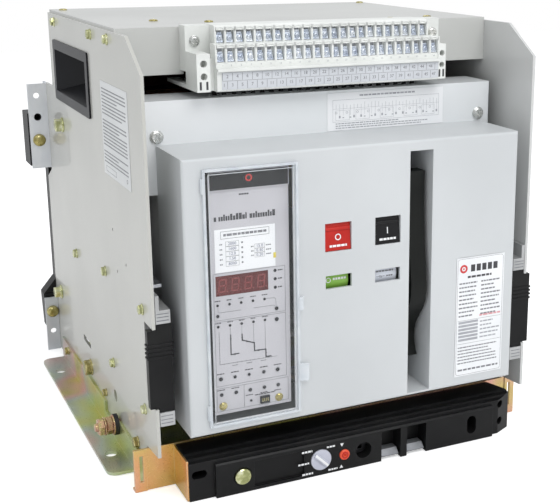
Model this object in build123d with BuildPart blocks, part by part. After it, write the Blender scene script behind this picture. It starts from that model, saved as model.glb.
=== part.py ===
from build123d import *
import math
import os

# Draw-out air circuit breaker: a steel cradle, and a breaker that racks and slides inside it.
# Millimetres. +X right, -Y front, +Z up. The origin is on the floor, under the middle of the object.

# ---- driving dimensions ----
PLATE_X = 200.0          # outer face of a cradle side plate
PLATE_T = 3.0
INNER_X = PLATE_X - PLATE_T
PLATE_TOP = 429.0
TOP_Z = 432.0            # upper face of the top plate
PLATE_FRONT = -249.0     # front edge of the side plates
PLATE_REAR = 201.0       # rear edge of the side plates, low down
LIMIT_Y = 270.0          # foremost and rearmost points, from the origin

COVER_X = 172.7          # half width of the breaker's front cover
COVER_FACE = -264.5
COVER_LOW = 69.4
COVER_HIGH = 328.3
COVER_T = 3.0
PANEL_FACE = -189.0      # front of the upper panel, where the cover's rim meets it
PANEL_X = 185.0
PANEL_HIGH = 368.6
PANEL_LOW = 282.0

POLE_PITCH = 115.0
POLES = (-POLE_PITCH, 0.0, POLE_PITCH)
LINE_Z = 230.0           # mid height of the upper main conductors
LOAD_Z = 125.0           # mid height of the lower ones
BAR_WIDE = 85.0
BAR_THICK = 15.0

BODY_X = 165.0           # half width of the breaker's moulded base
BODY_FRONT = -70.0
BODY_REAR = 95.0
SHAFT_Y = 30.0           # main shaft
SHAFT_Z = 140.0
SHAFT_R = 12.0
OPEN_ANGLE = 28.0        # how far the contacts stand open

HOUSING_FRONT = -253.0   # racking housing, below the breaker
HOUSING_REAR = -213.0
HOUSING_X = 173.0        # its left end; the right end reaches further
HOUSING_END = 186.5
RACK_FACE = -257.0       # its raised control panel
RACK_Z = 16.5            # height of the racking controls
SCREW_X = 6.6
KNOB_X = -40.3
RELEASE_X = -14.8
CRANK_X = -121.5
CRANK_Z = 17.0

HANDLE_X = 63.5          # charging handle, in its slot
HANDLE_PIVOT = (-225.0, 104.0)
GAP = 0.4                # running clearance

os.makedirs("parts", exist_ok=True)


# ---- helpers ----
def block(x, y, z, mode=Mode.ADD):
    """Box between three (low, high) ranges, in the part being built."""
    with Locations(((x[0] + x[1]) / 2, (y[0] + y[1]) / 2, (z[0] + z[1]) / 2)):
        return Box(x[1] - x[0], y[1] - y[0], z[1] - z[0], mode=mode)


def rod(axis, low, high, centre, radius, mode=Mode.ADD):
    """Cylinder along an axis, from low to high, with its two other coordinates in centre."""
    middle = (low + high) / 2
    if axis == "X":
        place, turn = (middle, centre[0], centre[1]), (0, 90, 0)
    elif axis == "Y":
        place, turn = (centre[0], middle, centre[1]), (90, 0, 0)
    else:
        place, turn = (centre[0], centre[1], middle), (0, 0, 0)
    with Locations(place):
        return Cylinder(radius, high - low, rotation=turn, mode=mode)


def prism(plane, points, amount, mode=Mode.ADD):
    """Polygon on a plane, extruded into the part being built."""
    with BuildSketch(plane) as outline:
        with BuildLine():
            Polyline(*points, close=True)
        make_face()
    return extrude(outline.sketch, amount=amount, mode=mode)


def side_plane(x):
    """Plane seen from the right: its first axis is +Y, its second +Z, its normal +X."""
    return Plane(origin=(x, 0, 0), x_dir=(0, 1, 0), z_dir=(1, 0, 0))


def front_plane(y):
    """Plane seen from the front: its first axis is +X, its second +Z, its normal -Y."""
    return Plane(origin=(0, y, 0), x_dir=(1, 0, 0), z_dir=(0, -1, 0))


def hexagon(plane, centre, across, amount, mode=Mode.ADD):
    """Hexagonal head or nut on a plane; across is its size over the flats."""
    with BuildSketch(plane) as outline:
        with Locations(centre):
            RegularPolygon(across / 2, 6, major_radius=False)
    return extrude(outline.sketch, amount=amount, mode=mode)


def disc(plane, centre, radius, amount, mode=Mode.ADD):
    """Round head, washer or hole on a plane."""
    with BuildSketch(plane) as outline:
        with Locations(centre):
            Circle(radius)
    return extrude(outline.sketch, amount=amount, mode=mode)


def slot(plane, centre, length, width, angle, amount, mode=Mode.SUBTRACT):
    """Slot with round ends on a plane."""
    with BuildSketch(plane) as outline:
        with Locations(centre):
            SlotOverall(length, width, rotation=angle)
    return extrude(outline.sketch, amount=amount, mode=mode)


def save(builder, name):
    """Label a finished piece and write its STEP."""
    builder.part.label = name
    export_step(builder.part, f"parts/{name}.step")


# ================= cradle: sheet metal =================
EARTH = (-106.0, 25.0)          # earthing terminal on the left plate, (y, z)
CROSS_X = 214.0                 # front cross plate
CROSS_FACE = -212.0
RECESS_Y = (-56.0, 111.0)       # lifting recess in each side plate
RECESS_Z = (335.0, 401.0)
RECESS_RIM = 6.0                # how far its frame overlaps the plate
NOTCH_Z = (96.6, 173.7)         # front notch that a rail's grip stands through
NOTCH_Y = -222.0
PLATE_OUTLINE = (
    (136, PLATE_TOP), (-203, PLATE_TOP), (PLATE_FRONT, 399.6),
    (PLATE_FRONT, NOTCH_Z[1]), (NOTCH_Y, NOTCH_Z[1]), (NOTCH_Y, NOTCH_Z[0]), (PLATE_FRONT, NOTCH_Z[0]),
    (PLATE_FRONT, 49), (-216, 46), (-209.5, 44.5), (-209.5, 5),
    (PLATE_REAR, 5), (PLATE_REAR, 228), (176, 241), (176, 345), (136, 345),
)
# Holes in a side plate: (y, z, radius); the first ones hold the fasteners.
SCREW_PLACES = ((103, 420.5), (-72, 420.5), (-138, 421), (-78, 182), (-218, 184), (-91.5, 87), (60.5, 165), (-211, 83))
HEX_PLACES = ((92, 307), (167.5, 88))
OPEN_HOLES = ((-120, 236, 1.6), (-166, 212, 1.6), (-130, 196, 1.6), (-91, 50, 6.5))
PLATE_SLOT = (34, 68, 36)


def side_plate(side):
    """One side plate; side is -1 for the left and 1 for the right."""
    inner = side_plane(side * INNER_X)
    prism(inner, PLATE_OUTLINE, side * PLATE_T)
    for y, z in SCREW_PLACES:
        disc(inner, (y, z), 2.6, side * PLATE_T, Mode.SUBTRACT)
    for y, z in HEX_PLACES:
        disc(inner, (y, z), 4.6, side * PLATE_T, Mode.SUBTRACT)
    for y, z, radius in OPEN_HOLES:
        disc(inner, (y, z), radius, side * PLATE_T, Mode.SUBTRACT)
    disc(inner, EARTH, 5.2, side * PLATE_T, Mode.SUBTRACT)
    slot(inner, PLATE_SLOT[:2], PLATE_SLOT[2], 7, 0, side * PLATE_T)
    low_y, high_y = RECESS_Y[0] + RECESS_RIM, RECESS_Y[1] - RECESS_RIM
    low_z, high_z = RECESS_Z[0] + RECESS_RIM, RECESS_Z[1] - RECESS_RIM
    edge = sorted((side * INNER_X, side * PLATE_X))
    block(edge, (low_y, high_y), (low_z, high_z), Mode.SUBTRACT)


with BuildPart() as left_side_plate:
    side_plate(-1)
save(left_side_plate, "left_side_plate")

with BuildPart() as right_side_plate:
    side_plate(1)
save(right_side_plate, "right_side_plate")

# Top plate with a deep front flange that carries the secondary terminal block.
FLANGE_FACE = -156.0
FLANGE_LOW = 388.0
FLANGE_CUT = (-133.5, 129.0)            # opening in the flange for the secondary terminal block
FLANGE_CUT_TOP = 412.0
BLOCK_FIXINGS = (-128.0, 123.5)         # screws of the secondary terminal block
BLOCK_FIXING_Z = 420.0
TOP_SCREWS = ((-139, -80), (-93, -113), (92, -143), (141, -132), (188, 126), (-186, 118))
with BuildPart() as top_plate:
    block((-INNER_X, INNER_X), (FLANGE_FACE, 140), (TOP_Z - 2, TOP_Z))
    block((-INNER_X, INNER_X), (FLANGE_FACE, FLANGE_FACE + 2), (FLANGE_LOW, TOP_Z))
    block(FLANGE_CUT, (FLANGE_FACE - 1, FLANGE_FACE + 3), (FLANGE_LOW - 1, FLANGE_CUT_TOP), Mode.SUBTRACT)
    block((-INNER_X, INNER_X), (138, 140), (410, TOP_Z))
    for side in (-1, 1):
        edge = sorted((side * INNER_X, side * (INNER_X - 2)))
        block(edge, (FLANGE_FACE, 140), (412, TOP_Z))
    for x, y in TOP_SCREWS:
        rod("Z", TOP_Z - 3, TOP_Z + 1, (x, y), 2.6, Mode.SUBTRACT)
    for x in BLOCK_FIXINGS:
        disc(front_plane(FLANGE_FACE), (x, BLOCK_FIXING_Z), 2.6, -2, Mode.SUBTRACT)
save(top_plate, "top_plate")

# Floor plate under the breaker.
FLOOR_Z = (2.0, 5.0)
with BuildPart() as floor_plate:
    block((-INNER_X + 0.5, INNER_X - 0.5), (-205, 200), FLOOR_Z)
    for side in (-1, 1):
        edge = sorted((side * (INNER_X - 0.5), side * (INNER_X - 3)))
        block(edge, (-205, 200), (FLOOR_Z[0], 30))
        block(edge, (-112, -70), (29, 62))
save(floor_plate, "floor_plate")

# Mounting rails: an angle along the foot of each side plate, bolted to the floor of the panel.
RAIL_OUT = 229.0
RAIL_Y = (-170.0, 169.0)
RAIL_HOLE_X = 216.0
RAIL_HOLE_Y = (-126.4, 121.4)
RAIL_HOLE_R = 6.0
RAIL_WALL = 29.0
with BuildPart() as mounting_rails:
    for side in (-1, 1):
        foot = sorted((side * PLATE_X, side * RAIL_OUT))
        wall = sorted((side * PLATE_X, side * (PLATE_X + 3)))
        block(foot, RAIL_Y, (0, 3))
        block(wall, (CROSS_FACE + 2.5, RAIL_Y[1]), (0, RAIL_WALL))
        block(wall, (-88, -52), (18, RAIL_WALL + 1), Mode.SUBTRACT)
        disc(side_plane(side * (PLATE_X - 1)), EARTH, 5.2, side * 5, Mode.SUBTRACT)
        for y in RAIL_HOLE_Y:
            rod("Z", -1, 4, (side * RAIL_HOLE_X, y), RAIL_HOLE_R, Mode.SUBTRACT)
    outer_corners = mounting_rails.edges().filter_by(Axis.Z).filter_by_position(Axis.Z, 1, 2)
    fillet([e for e in outer_corners if abs(e.center().X) > RAIL_OUT - 1], 10)
save(mounting_rails, "mounting_rails")

# Front cross plate between the rails, with a forward lug that closes each end of the housing.
with BuildPart() as front_cross_plate:
    block((-CROSS_X, CROSS_X), (CROSS_FACE, CROSS_FACE + 2), (0, 43))
    for side in (-1, 1):
        tab = sorted((side * 202, side * CROSS_X))
        block(tab, (CROSS_FACE - 1.2, CROSS_FACE + 1), (0, 43))
        block(sorted((side * 203.5, side * CROSS_X)), (CROSS_FACE, CROSS_FACE + 8), (0, 2))
        with Locations((side * 207, CROSS_FACE, 23)):
            Box(3.4, 6, 27, mode=Mode.SUBTRACT)
    block((-HOUSING_X - 1.8, -HOUSING_X - 0.1), (HOUSING_FRONT + 1, CROSS_FACE + 1), (0.5, 41))
    for x, z, radius in ((SCREW_X, RACK_Z, 7), (KNOB_X, RACK_Z, 6), (CRANK_X, CRANK_Z, 7)):
        disc(front_plane(CROSS_FACE), (x, z), radius, -3, Mode.SUBTRACT)
save(front_cross_plate, "front_cross_plate")

# Rear brackets: one flange faces forward, the other lies along the insulating base.
with BuildPart() as rear_brackets:
    for side in (-1, 1):
        block(sorted((side * 196.8, side * 222)), (176.2, 178.7), (243, 344))
        block(sorted((side * 196.8, side * 199.3)), (176.2, 201), (243, 344))
        block(sorted((side * 200.2, side * 216)), (196, 198.5), (4, 73))
        for z, radius in ((330, 3.4), (304.5, 4.4)):
            rod("Y", 170, 182, (side * 212, z), radius, Mode.SUBTRACT)
        rod("Y", 190, 205, (side * 208, 29), 3.4, Mode.SUBTRACT)
save(rear_brackets, "rear_brackets")

# ================= cradle: mouldings =================
# Lifting recesses: a framed pocket in each side plate, open to the fingers at its inner end.
POCKET_DEEP = 26.0
with BuildPart() as handle_recesses:
    for side in (-1, 1):
        mid_y, mid_z = sum(RECESS_Y) / 2, sum(RECESS_Z) / 2
        wide, tall = RECESS_Y[1] - RECESS_Y[0], RECESS_Z[1] - RECESS_Z[0]
        with BuildSketch(side_plane(side * PLATE_X)) as frame:
            with Locations((mid_y, mid_z)):
                RectangleRounded(wide, tall, 3)
        extrude(frame.sketch, amount=side * 1.8)
        shell = sorted((side * PLATE_X, side * (INNER_X - POCKET_DEEP)))
        block(shell, (mid_y - wide / 2 + 6.4, mid_y + wide / 2 - 6.4), (mid_z - tall / 2 + 6.4, mid_z + tall / 2 - 6.4))
        with BuildSketch(side_plane(side * (PLATE_X + 1.8))) as mouth:
            with Locations((mid_y, mid_z)):
                Rectangle(wide - 20, tall - 20)
        with BuildSketch(side_plane(side * (INNER_X - POCKET_DEEP + 3))) as throat:
            with Locations((mid_y - 8, mid_z + 4)):
                Rectangle(wide - 90, tall - 38)
        loft([mouth.sketch.face(), throat.sketch.face()], mode=Mode.SUBTRACT)
        block(sorted((side * (INNER_X - 10), side * (INNER_X - POCKET_DEEP - 1))),
              (mid_y - 36, mid_y + 4), (mid_z - 2, mid_z + 15), Mode.SUBTRACT)
save(handle_recesses, "handle_recesses")

# Insulating rear base with its two mounting ears, the pole partitions and six conductor windows.
BASE_FRONT = 140.0
BASE_REAR = 221.0
BASE_TOP = 330.0
with BuildPart() as rear_base:
    block((-196.5, 196.5), (BASE_FRONT + 20, PLATE_REAR + 0.5), (30, BASE_TOP))
    block((-199.5, 199.5), (PLATE_REAR + 0.5, BASE_REAR), (30, BASE_TOP))
    for side in (-1, 1):
        ear = [(side * 199, 33), (side * 214.5, 33), (side * 216, 77), (side * 199, 97)]
        prism(front_plane(BASE_REAR), ear, BASE_REAR - PLATE_REAR - 0.5)
        block(sorted((side * 200.4, side * 214)), (199, PLATE_REAR + 1), (35, 77))
        block(sorted((side * 200.4, side * 223.5)), (179.2, PLATE_REAR + 1), (246, 309))
        block(sorted((side * 199, side * 223.5)), (PLATE_REAR, BASE_REAR - 8), (246, 309))
        rod("Y", 178, 197, (side * 212, 304.5), 3.4, Mode.SUBTRACT)
        block(sorted((side * 54.5, side * 60.5)), (BASE_FRONT - 30, BASE_FRONT + 21), (80, 300))
    for x in POLES:
        for z in (LINE_Z, LOAD_Z):
            block((x - BAR_WIDE / 2 - 4, x + BAR_WIDE / 2 + 4), (150, 185), (z - 24, z + 24), Mode.SUBTRACT)
            block((x - BAR_WIDE / 2 - 0.2, x + BAR_WIDE / 2 + 0.2), (150, 230),
                  (z - BAR_THICK / 2 - 0.2, z + BAR_THICK / 2 + 0.2), Mode.SUBTRACT)
    for z in (60, 178, 286):
        block((-190, 190), (BASE_REAR - 8, BASE_REAR + 1), (z - 14, z + 14), Mode.SUBTRACT)
save(rear_base, "rear_base")

# Main terminals: six copper bars through the base, each with four bolt holes behind it.
TERMINAL_FRONT = 160.0
TERMINAL_HOLES = (LIMIT_Y - 23.0, 50.0, 25.0, 5.5)   # centre y, x spacing, y spacing, radius
with BuildPart() as main_terminals:
    for x in POLES:
        for z in (LINE_Z, LOAD_Z):
            block((x - BAR_WIDE / 2, x + BAR_WIDE / 2), (TERMINAL_FRONT, LIMIT_Y), (z - BAR_THICK / 2, z + BAR_THICK / 2))
            with Locations((x, TERMINAL_HOLES[0], z + BAR_THICK / 2)):
                with GridLocations(TERMINAL_HOLES[1], TERMINAL_HOLES[2], 2, 2):
                    Hole(TERMINAL_HOLES[3], BAR_THICK)
save(main_terminals, "main_terminals")

# Bridge contacts: rows of sprung fingers that grip a fixed terminal and a breaker stab.
FINGERS = 7
FINGER_PITCH = 11.0
with BuildPart() as bridge_contacts:
    for x in POLES:
        for z in (LINE_Z, LOAD_Z):
            for side in (-1, 1):
                near = z + side * (BAR_THICK / 2 + 0.45)
                far = z + side * (BAR_THICK / 2 + 6.5)
                spring = z + side * (BAR_THICK / 2 + 10)
                block((x - 40, x + 40), (146, 154), sorted((far, spring)))
                for k in range(FINGERS):
                    middle = x + (k - (FINGERS - 1) / 2) * FINGER_PITCH
                    block((middle - 4.5, middle + 4.5), (124, 176), sorted((near, far)))
save(bridge_contacts, "bridge_contacts")

# Racking housing: black moulding across the front, below the breaker.
PANEL_SPAN = (-148.0, 159.0)
PANEL_TOP = 34.5
HOUSING_TOP = 42.0
BAYS = ((26.5, 48.5), (55.5, 78.0))       # two open bays with a locking tab in each
CRANK_R = 6.0
with BuildPart() as racking_housing:
    prism(side_plane(-HOUSING_X),
          [(HOUSING_REAR, 0), (HOUSING_REAR, HOUSING_TOP), (-238, HOUSING_TOP), (-240, 40.6), (-246, 40.2),
           (-248, 38.8), (HOUSING_FRONT, 38), (HOUSING_FRONT, 0)], HOUSING_X + HOUSING_END)
    prism(Plane.XY, [(177.5, HOUSING_REAR + 1), (HOUSING_END + 1, HOUSING_REAR + 1), (HOUSING_END + 1, -238.5),
                     (HOUSING_END, -238.5)], 50, Mode.SUBTRACT)
    prism(Plane.XY, [(HOUSING_END, -243.5), (HOUSING_END + 1, -243.5), (HOUSING_END + 1, HOUSING_FRONT - 1),
                     (168, HOUSING_FRONT - 1), (168, HOUSING_FRONT)], 50, Mode.SUBTRACT)
    block(PANEL_SPAN, (RACK_FACE, HOUSING_FRONT), (0, PANEL_TOP))
    chamfer(racking_housing.faces().sort_by(Axis.Y)[0].edges().sort_by(Axis.Z)[-1], 1.5)
    for bay in BAYS:
        block(bay, (RACK_FACE - 1, -240), (-1, 32), Mode.SUBTRACT)
    rod("Y", -260, -210, (SCREW_X, RACK_Z), 8.5, Mode.SUBTRACT)
    rod("Y", -260, -210, (CRANK_X, CRANK_Z), 9.0, Mode.SUBTRACT)
    rod("Y", -260, -246, (KNOB_X, RACK_Z), 11.2, Mode.SUBTRACT)
    rod("Y", -246, -210, (KNOB_X, RACK_Z), 5.4, Mode.SUBTRACT)
    rod("Y", -260, -238, (RELEASE_X, RACK_Z), 5.9, Mode.SUBTRACT)
    slot(front_plane(-260), (132.7, 18.5), 20, 11, 90, -30)
    slot(front_plane(-260), (-163, 26), 15, 8, 0, -30)
    for z in (14, 33):
        disc(front_plane(-260), (171, z - 0.5), 4.2, -25, Mode.SUBTRACT)
    block((-110, -58), (RACK_FACE - 1, HOUSING_FRONT - 1), (3, 30), Mode.SUBTRACT)
    block((-145, 145), (-236, -212), (-1, 5.5), Mode.SUBTRACT)
save(racking_housing, "racking_housing")

# Secondary terminal block: two stepped rows of clamps above a numbered strip, the lower row half a cell off.
UPPER_CELLS = 23
LOWER_CELLS = 24
CELL_PITCH = 9.64
UPPER_START = -108.3
LOWER_START = -113.1
ROW_UPPER = (-190.0, 418.7, 433.2)        # face y, low z and high z of its clamps
ROW_LOWER = (-205.0, 402.6, 418.4)
SIDE_FACE = -174.0                        # the plates at the block's two ends
BLOCK_X = (-136.7, 121.5)
ROWS = ((ROW_UPPER, UPPER_START, UPPER_CELLS), (ROW_LOWER, LOWER_START, LOWER_CELLS))
with BuildPart() as secondary_terminal_block:
    prism(side_plane(-113.1), [(FLANGE_FACE, 376), (FLANGE_FACE, 434.5), (-184, 434.5), (-190, 433), (-190, 400),
                               (-190, 376)], 222)
    prism(side_plane(-118), [(-189, 376), (-189, 418.5), (-200, 418.5), (-205, 417), (-205, 397), (-210, 397),
                             (-210, 394.5), (-207, 394.5), (-206.5, 377), (-205.5, 376)], 231.5)
    block((BLOCK_X[0], -113), (SIDE_FACE, FLANGE_FACE), (392, 434))
    block((108.5, 131), (SIDE_FACE, FLANGE_FACE), (392, 434))
    for side_x in ((BLOCK_X[0], -124), (113, BLOCK_X[1])):
        block(side_x, (-206, SIDE_FACE + 1), (376.5, 411))
    block((-124.5, -117), (-198, SIDE_FACE + 1), (376.5, 406))
    block((BLOCK_X[0], -125), (SIDE_FACE, -112), (376.5, 380))
    for (face, low, high), start, cells in ROWS:
        for k in range(cells):
            x = start + k * CELL_PITCH
            block((x - 3.7, x + 3.7), (face - 1, face + 5), (low, high - 3), Mode.SUBTRACT)
    for z in (402, 390.5):
        disc(front_plane(-212), (-130, z), 3.2, -16, Mode.SUBTRACT)
        disc(front_plane(-212), (117.3, z), 2.8, -16, Mode.SUBTRACT)
    for x in BLOCK_FIXINGS:
        disc(front_plane(-180), (x, BLOCK_FIXING_Z), 2.6, -30, Mode.SUBTRACT)
save(secondary_terminal_block, "secondary_terminal_block")

# Clamp screws of the terminal block, and the two screws that hold it.
with BuildPart() as terminal_screws:
    for (face, low, high), start, cells in ROWS:
        for k in range(cells):
            disc(front_plane(face + 5), (start + k * CELL_PITCH, low + 5), 3.4, 2.6)
    for x in BLOCK_FIXINGS:
        disc(front_plane(SIDE_FACE), (x, BLOCK_FIXING_Z), 5.0, 2.4)
        disc(front_plane(SIDE_FACE), (x, BLOCK_FIXING_Z), 2.4, -16)
save(terminal_screws, "terminal_screws")

# ================= cradle: fasteners and small pieces =================
with BuildPart() as side_fasteners:
    for side in (-1, 1):
        outer = side_plane(side * PLATE_X)
        for y, z in SCREW_PLACES:
            disc(outer, (y, z), 5.4, side * 1.0)
            hexagon(outer, (y, z), 8.0, side * 4.2)
            disc(outer, (y, z), 2.4, side * -PLATE_T)
        for y, z in HEX_PLACES:
            disc(outer, (y, z), 8.5, side * 1.6)
            hexagon(outer, (y, z), 13.0, side * 9.0)
            disc(outer, (y, z), 4.3, side * -PLATE_T)
save(side_fasteners, "side_fasteners")

FRAME_BOLTS = ((132, 23, 8, 3), (20, 42, 15, 0), (-177, 35, 9, 0), (-50, 38, 7, 0))    # y, z, size over the flats, how far out
with BuildPart() as frame_bolts:
    for side in (-1, 1):
        for y, z, across, out in FRAME_BOLTS:
            wall = side_plane(side * (PLATE_X + out))
            disc(wall, (y, z), across * 0.62, side * 1.2)
            hexagon(wall, (y, z), across, side * (across * 0.45 + 1.2))
        for plane, x, z in ((front_plane(176.2), 212, 277), (front_plane(196), 207.5, 55)):
            disc(plane, (side * x, z), 7.4, 5.5)
save(frame_bolts, "frame_bolts")

with BuildPart() as top_screws:
    for x, y in TOP_SCREWS:
        rod("Z", TOP_Z, TOP_Z + 1.9, (x, y), 4.4)
        rod("Z", TOP_Z - 4, TOP_Z, (x, y), 2.4)
save(top_screws, "top_screws")

# Earthing terminal: a stud with its nuts, standing on an insulating washer.
with BuildPart() as earth_terminal:
    wall = side_plane(-(PLATE_X + 7.2))
    disc(wall, EARTH, 4.8, -19.6)
    disc(wall, EARTH, 4.8, 10.2)
    disc(wall, EARTH, 10.5, -1.6)
    hexagon(side_plane(-(PLATE_X + 9.2)), EARTH, 16, -6.4)
    disc(side_plane(-(PLATE_X + 15.9)), EARTH, 9.5, -1.4)
    hexagon(side_plane(-(PLATE_X + 17.6)), EARTH, 16, -6.0)
save(earth_terminal, "earth_terminal")

with BuildPart() as earth_spacer:
    wall = side_plane(-(PLATE_X + 3))
    disc(wall, EARTH, 11, -4.1)
    disc(wall, EARTH, 5.0, -4.1, Mode.SUBTRACT)
save(earth_spacer, "earth_spacer")

LABEL_Y = (-202.0, -103.0)
with BuildPart() as instruction_label:
    block((-PLATE_X - 0.4, -PLATE_X), LABEL_Y, (290, 380))
save(instruction_label, "instruction_label")

# Guide strips that hold the sliding rails against the side plates.
with BuildPart() as rail_guides:
    for side in (-1, 1):
        edge = sorted((side * INNER_X, side * (INNER_X - 13)))
        block(edge, (-228, 150), (206, 209))
        block(edge, (-228, 150), (75, 78.8))
save(rail_guides, "rail_guides")


# ================= sliding guide rails =================
def guide_rail(side):
    """Channel that carries the breaker's weight when it is drawn out."""
    wall = side * 196.4
    block(sorted((wall, side * 183)), (PLATE_FRONT, 130), (178.5, 191))
    block(sorted((wall, side * 193)), (PLATE_FRONT, 130), (191, 204.8))
    block(sorted((wall, side * 182.6)), (PLATE_FRONT, 130), (79.6, 93))
    block(sorted((wall, side * 194.3)), (NOTCH_Y + 3, 130), (93, 178.5))
    block(sorted((side * 182.6, side * 174.2)), (-185, 130), (86, 93))


def grip(side):
    """Black grip on a rail's front end; it stands out through the notch in the side plate."""
    block(sorted((side * 182, side * 196.4)), (PLATE_FRONT + 1, NOTCH_Y + 2), (93.4, 178.2))
    block(sorted((side * 196.4, side * 199.6)), (PLATE_FRONT + 1, NOTCH_Y - 2), (NOTCH_Z[0] + 1, NOTCH_Z[1] - 1))
    block(sorted((side * 196.4, side * 204.6)), (PLATE_FRONT + 1, PLATE_FRONT + 8), (NOTCH_Z[0] + 1, NOTCH_Z[1] - 1))
    for k in range(4):
        z = 146.5 + k * 4
        block(sorted((side * 181, side * 205.6)), (PLATE_FRONT, PLATE_FRONT + 2), (z - 0.9, z + 0.9))
        block(sorted((side * 203.6, side * 205.6)), (PLATE_FRONT, PLATE_FRONT + 8), (z - 0.9, z + 0.9))


with BuildPart() as left_guide_rail:
    guide_rail(-1)
save(left_guide_rail, "left_guide_rail")

with BuildPart() as right_guide_rail:
    guide_rail(1)
save(right_guide_rail, "right_guide_rail")

with BuildPart() as left_grip:
    grip(-1)
save(left_grip, "left_grip")

with BuildPart() as right_grip:
    grip(1)
save(right_grip, "right_grip")

# ================= racking gear =================
SCREW_END = 120.0
CARRIAGE_Y = (-60.0, 60.0)
with BuildPart() as racking_screw:
    rod("Y", -246, -232, (SCREW_X, RACK_Z), 7.5)
    with Locations((SCREW_X, -241, RACK_Z)):
        Box(6.2, 11, 6.2, mode=Mode.SUBTRACT)
    rod("Y", -232, SCREW_END, (SCREW_X, RACK_Z), 6.0)
save(racking_screw, "racking_screw")

# Carriage: a nut block on the screw, a plate across the floor, and two lugs behind the breaker's cross bar.
with BuildPart() as racking_carriage:
    block((-150, 150), CARRIAGE_Y, (28, 33))
    block((SCREW_X - 16, SCREW_X + 16), (-15, 15), (7, 29))
    rod("Y", -20, 20, (SCREW_X, RACK_Z), 6.0 + GAP, Mode.SUBTRACT)
    for x in (-120, 120):
        block((x - 12, x + 12), (40, 48), (32, 76))
save(racking_carriage, "racking_carriage")

with BuildPart() as position_knob:
    rod("Y", -258, -246.6, (KNOB_X, RACK_Z), 10.6)
    rod("Y", -247, -206, (KNOB_X, RACK_Z), 4.8)
    turned = Plane(origin=(KNOB_X, -258, RACK_Z), x_dir=(math.cos(math.radians(135)), 0, math.sin(math.radians(135))),
                   z_dir=(0, -1, 0))
    with BuildSketch(turned):
        Rectangle(18.5, 4.2)
    extrude(amount=1.8)
save(position_knob, "position_knob")

with BuildPart() as release_button:
    rod("Y", -258.5, -241, (RELEASE_X, RACK_Z), 5.4)
    chamfer(release_button.edges().filter_by(GeomType.CIRCLE).sort_by(Axis.Y)[0], 0.8)
    rod("Y", -260, -256.5, (RELEASE_X, RACK_Z), 1.6, Mode.SUBTRACT)
save(release_button, "release_button")

CRANK_END = 60.0
with BuildPart() as crank_handle:
    rod("Y", -259.5, -236, (CRANK_X, CRANK_Z), 8.0)
    chamfer(crank_handle.edges().filter_by(GeomType.CIRCLE).sort_by(Axis.Y)[0], 0.8)
    rod("Y", -236, CRANK_END - 20, (CRANK_X, CRANK_Z), CRANK_R)
    with Locations((CRANK_X, CRANK_END - 10, CRANK_Z)):
        Box(5.8, 20, 5.8)
save(crank_handle, "crank_handle")

with BuildPart() as locking_tabs:
    for bay in BAYS:
        prism(side_plane(bay[0] + 1.5), [(-241, 3), (-241, 9), (-250, 9), (-255, 4), (-255, 3)], bay[1] - bay[0] - 3)
save(locking_tabs, "locking_tabs")

# ================= breaker: moulded base and power path =================
CHAMBER = 100.0
with BuildPart() as breaker_base:
    block((-BODY_X, BODY_X), (BODY_FRONT, BODY_REAR), (78, 345))
    for x in POLES:
        block((x - CHAMBER / 2, x + CHAMBER / 2), (BODY_FRONT + 8, BODY_REAR - 10), (88, 346), Mode.SUBTRACT)
        for z in (LINE_Z, LOAD_Z):
            block((x - BAR_WIDE / 2 - 0.2, x + BAR_WIDE / 2 + 0.2), (BODY_REAR - 12, BODY_REAR + 2),
                  (z - BAR_THICK / 2 - 0.2, z + BAR_THICK / 2 + 0.2), Mode.SUBTRACT)
    rod("X", -BODY_X - 1, BODY_X + 1, (SHAFT_Y, SHAFT_Z), SHAFT_R + 0.3, Mode.SUBTRACT)
    block((-140, 140), (32, 38), (68, 79))
save(breaker_base, "breaker_base")

# Breaker stabs: copper bars out of the base's back; the upper ones carry the fixed contacts.
STAB_END = 150.0
FIXED_FACE = 60.0
with BuildPart() as main_stabs:
    for x in POLES:
        half = BAR_WIDE / 2
        block((x - half, x + half), (FIXED_FACE + 4, STAB_END), (LINE_Z - BAR_THICK / 2, LINE_Z + BAR_THICK / 2))
        block((x - 38, x + 38), (FIXED_FACE, FIXED_FACE + 5), (210, 237.5))
        block((x - half, x + half), (FIXED_FACE + 8, STAB_END), (LOAD_Z - BAR_THICK / 2, LOAD_Z + BAR_THICK / 2))
save(main_stabs, "main_stabs")

# Braided links from the lower stabs up to the moving contacts.
with BuildPart() as flexible_links:
    for x in POLES:
        for k in range(5):
            middle = x + (k - 2) * 15
            prism(side_plane(middle - 5), [(67.8, 118), (67.8, 112), (58, 98), (52, 98), (52, 101), (62, 114), (62, 118)], 10)
save(flexible_links, "flexible_links")

# Current transformers round the lower stabs.
with BuildPart() as current_transformers:
    for x in POLES:
        block((x - 52, x + 52), (97, 117), (LOAD_Z - 26, LOAD_Z + 26))
        block((x - 44, x + 44), (96, 118), (LOAD_Z - 9, LOAD_Z + 9), Mode.SUBTRACT)
    fillet(current_transformers.edges().filter_by(Axis.Y), 3)
save(current_transformers, "current_transformers")

# Arc chutes in the top of each pole chamber, with their splitter plates.
CHUTE_Y = (-44.0, 76.0)
CHUTE_Z = (252.0, 343.0)
SPLITTERS = 11
with BuildPart() as arc_chutes:
    for x in POLES:
        block((x - 48, x + 48), CHUTE_Y, CHUTE_Z)
        block((x - 44, x + 44), (CHUTE_Y[0] + 4, CHUTE_Y[1] - 4), (CHUTE_Z[0] - 1, CHUTE_Z[1] - 6), Mode.SUBTRACT)
        with Locations((x, sum(CHUTE_Y) / 2, CHUTE_Z[1])):
            with GridLocations(14, 16, 5, 6):
                Hole(4, 8)
save(arc_chutes, "arc_chutes")

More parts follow.
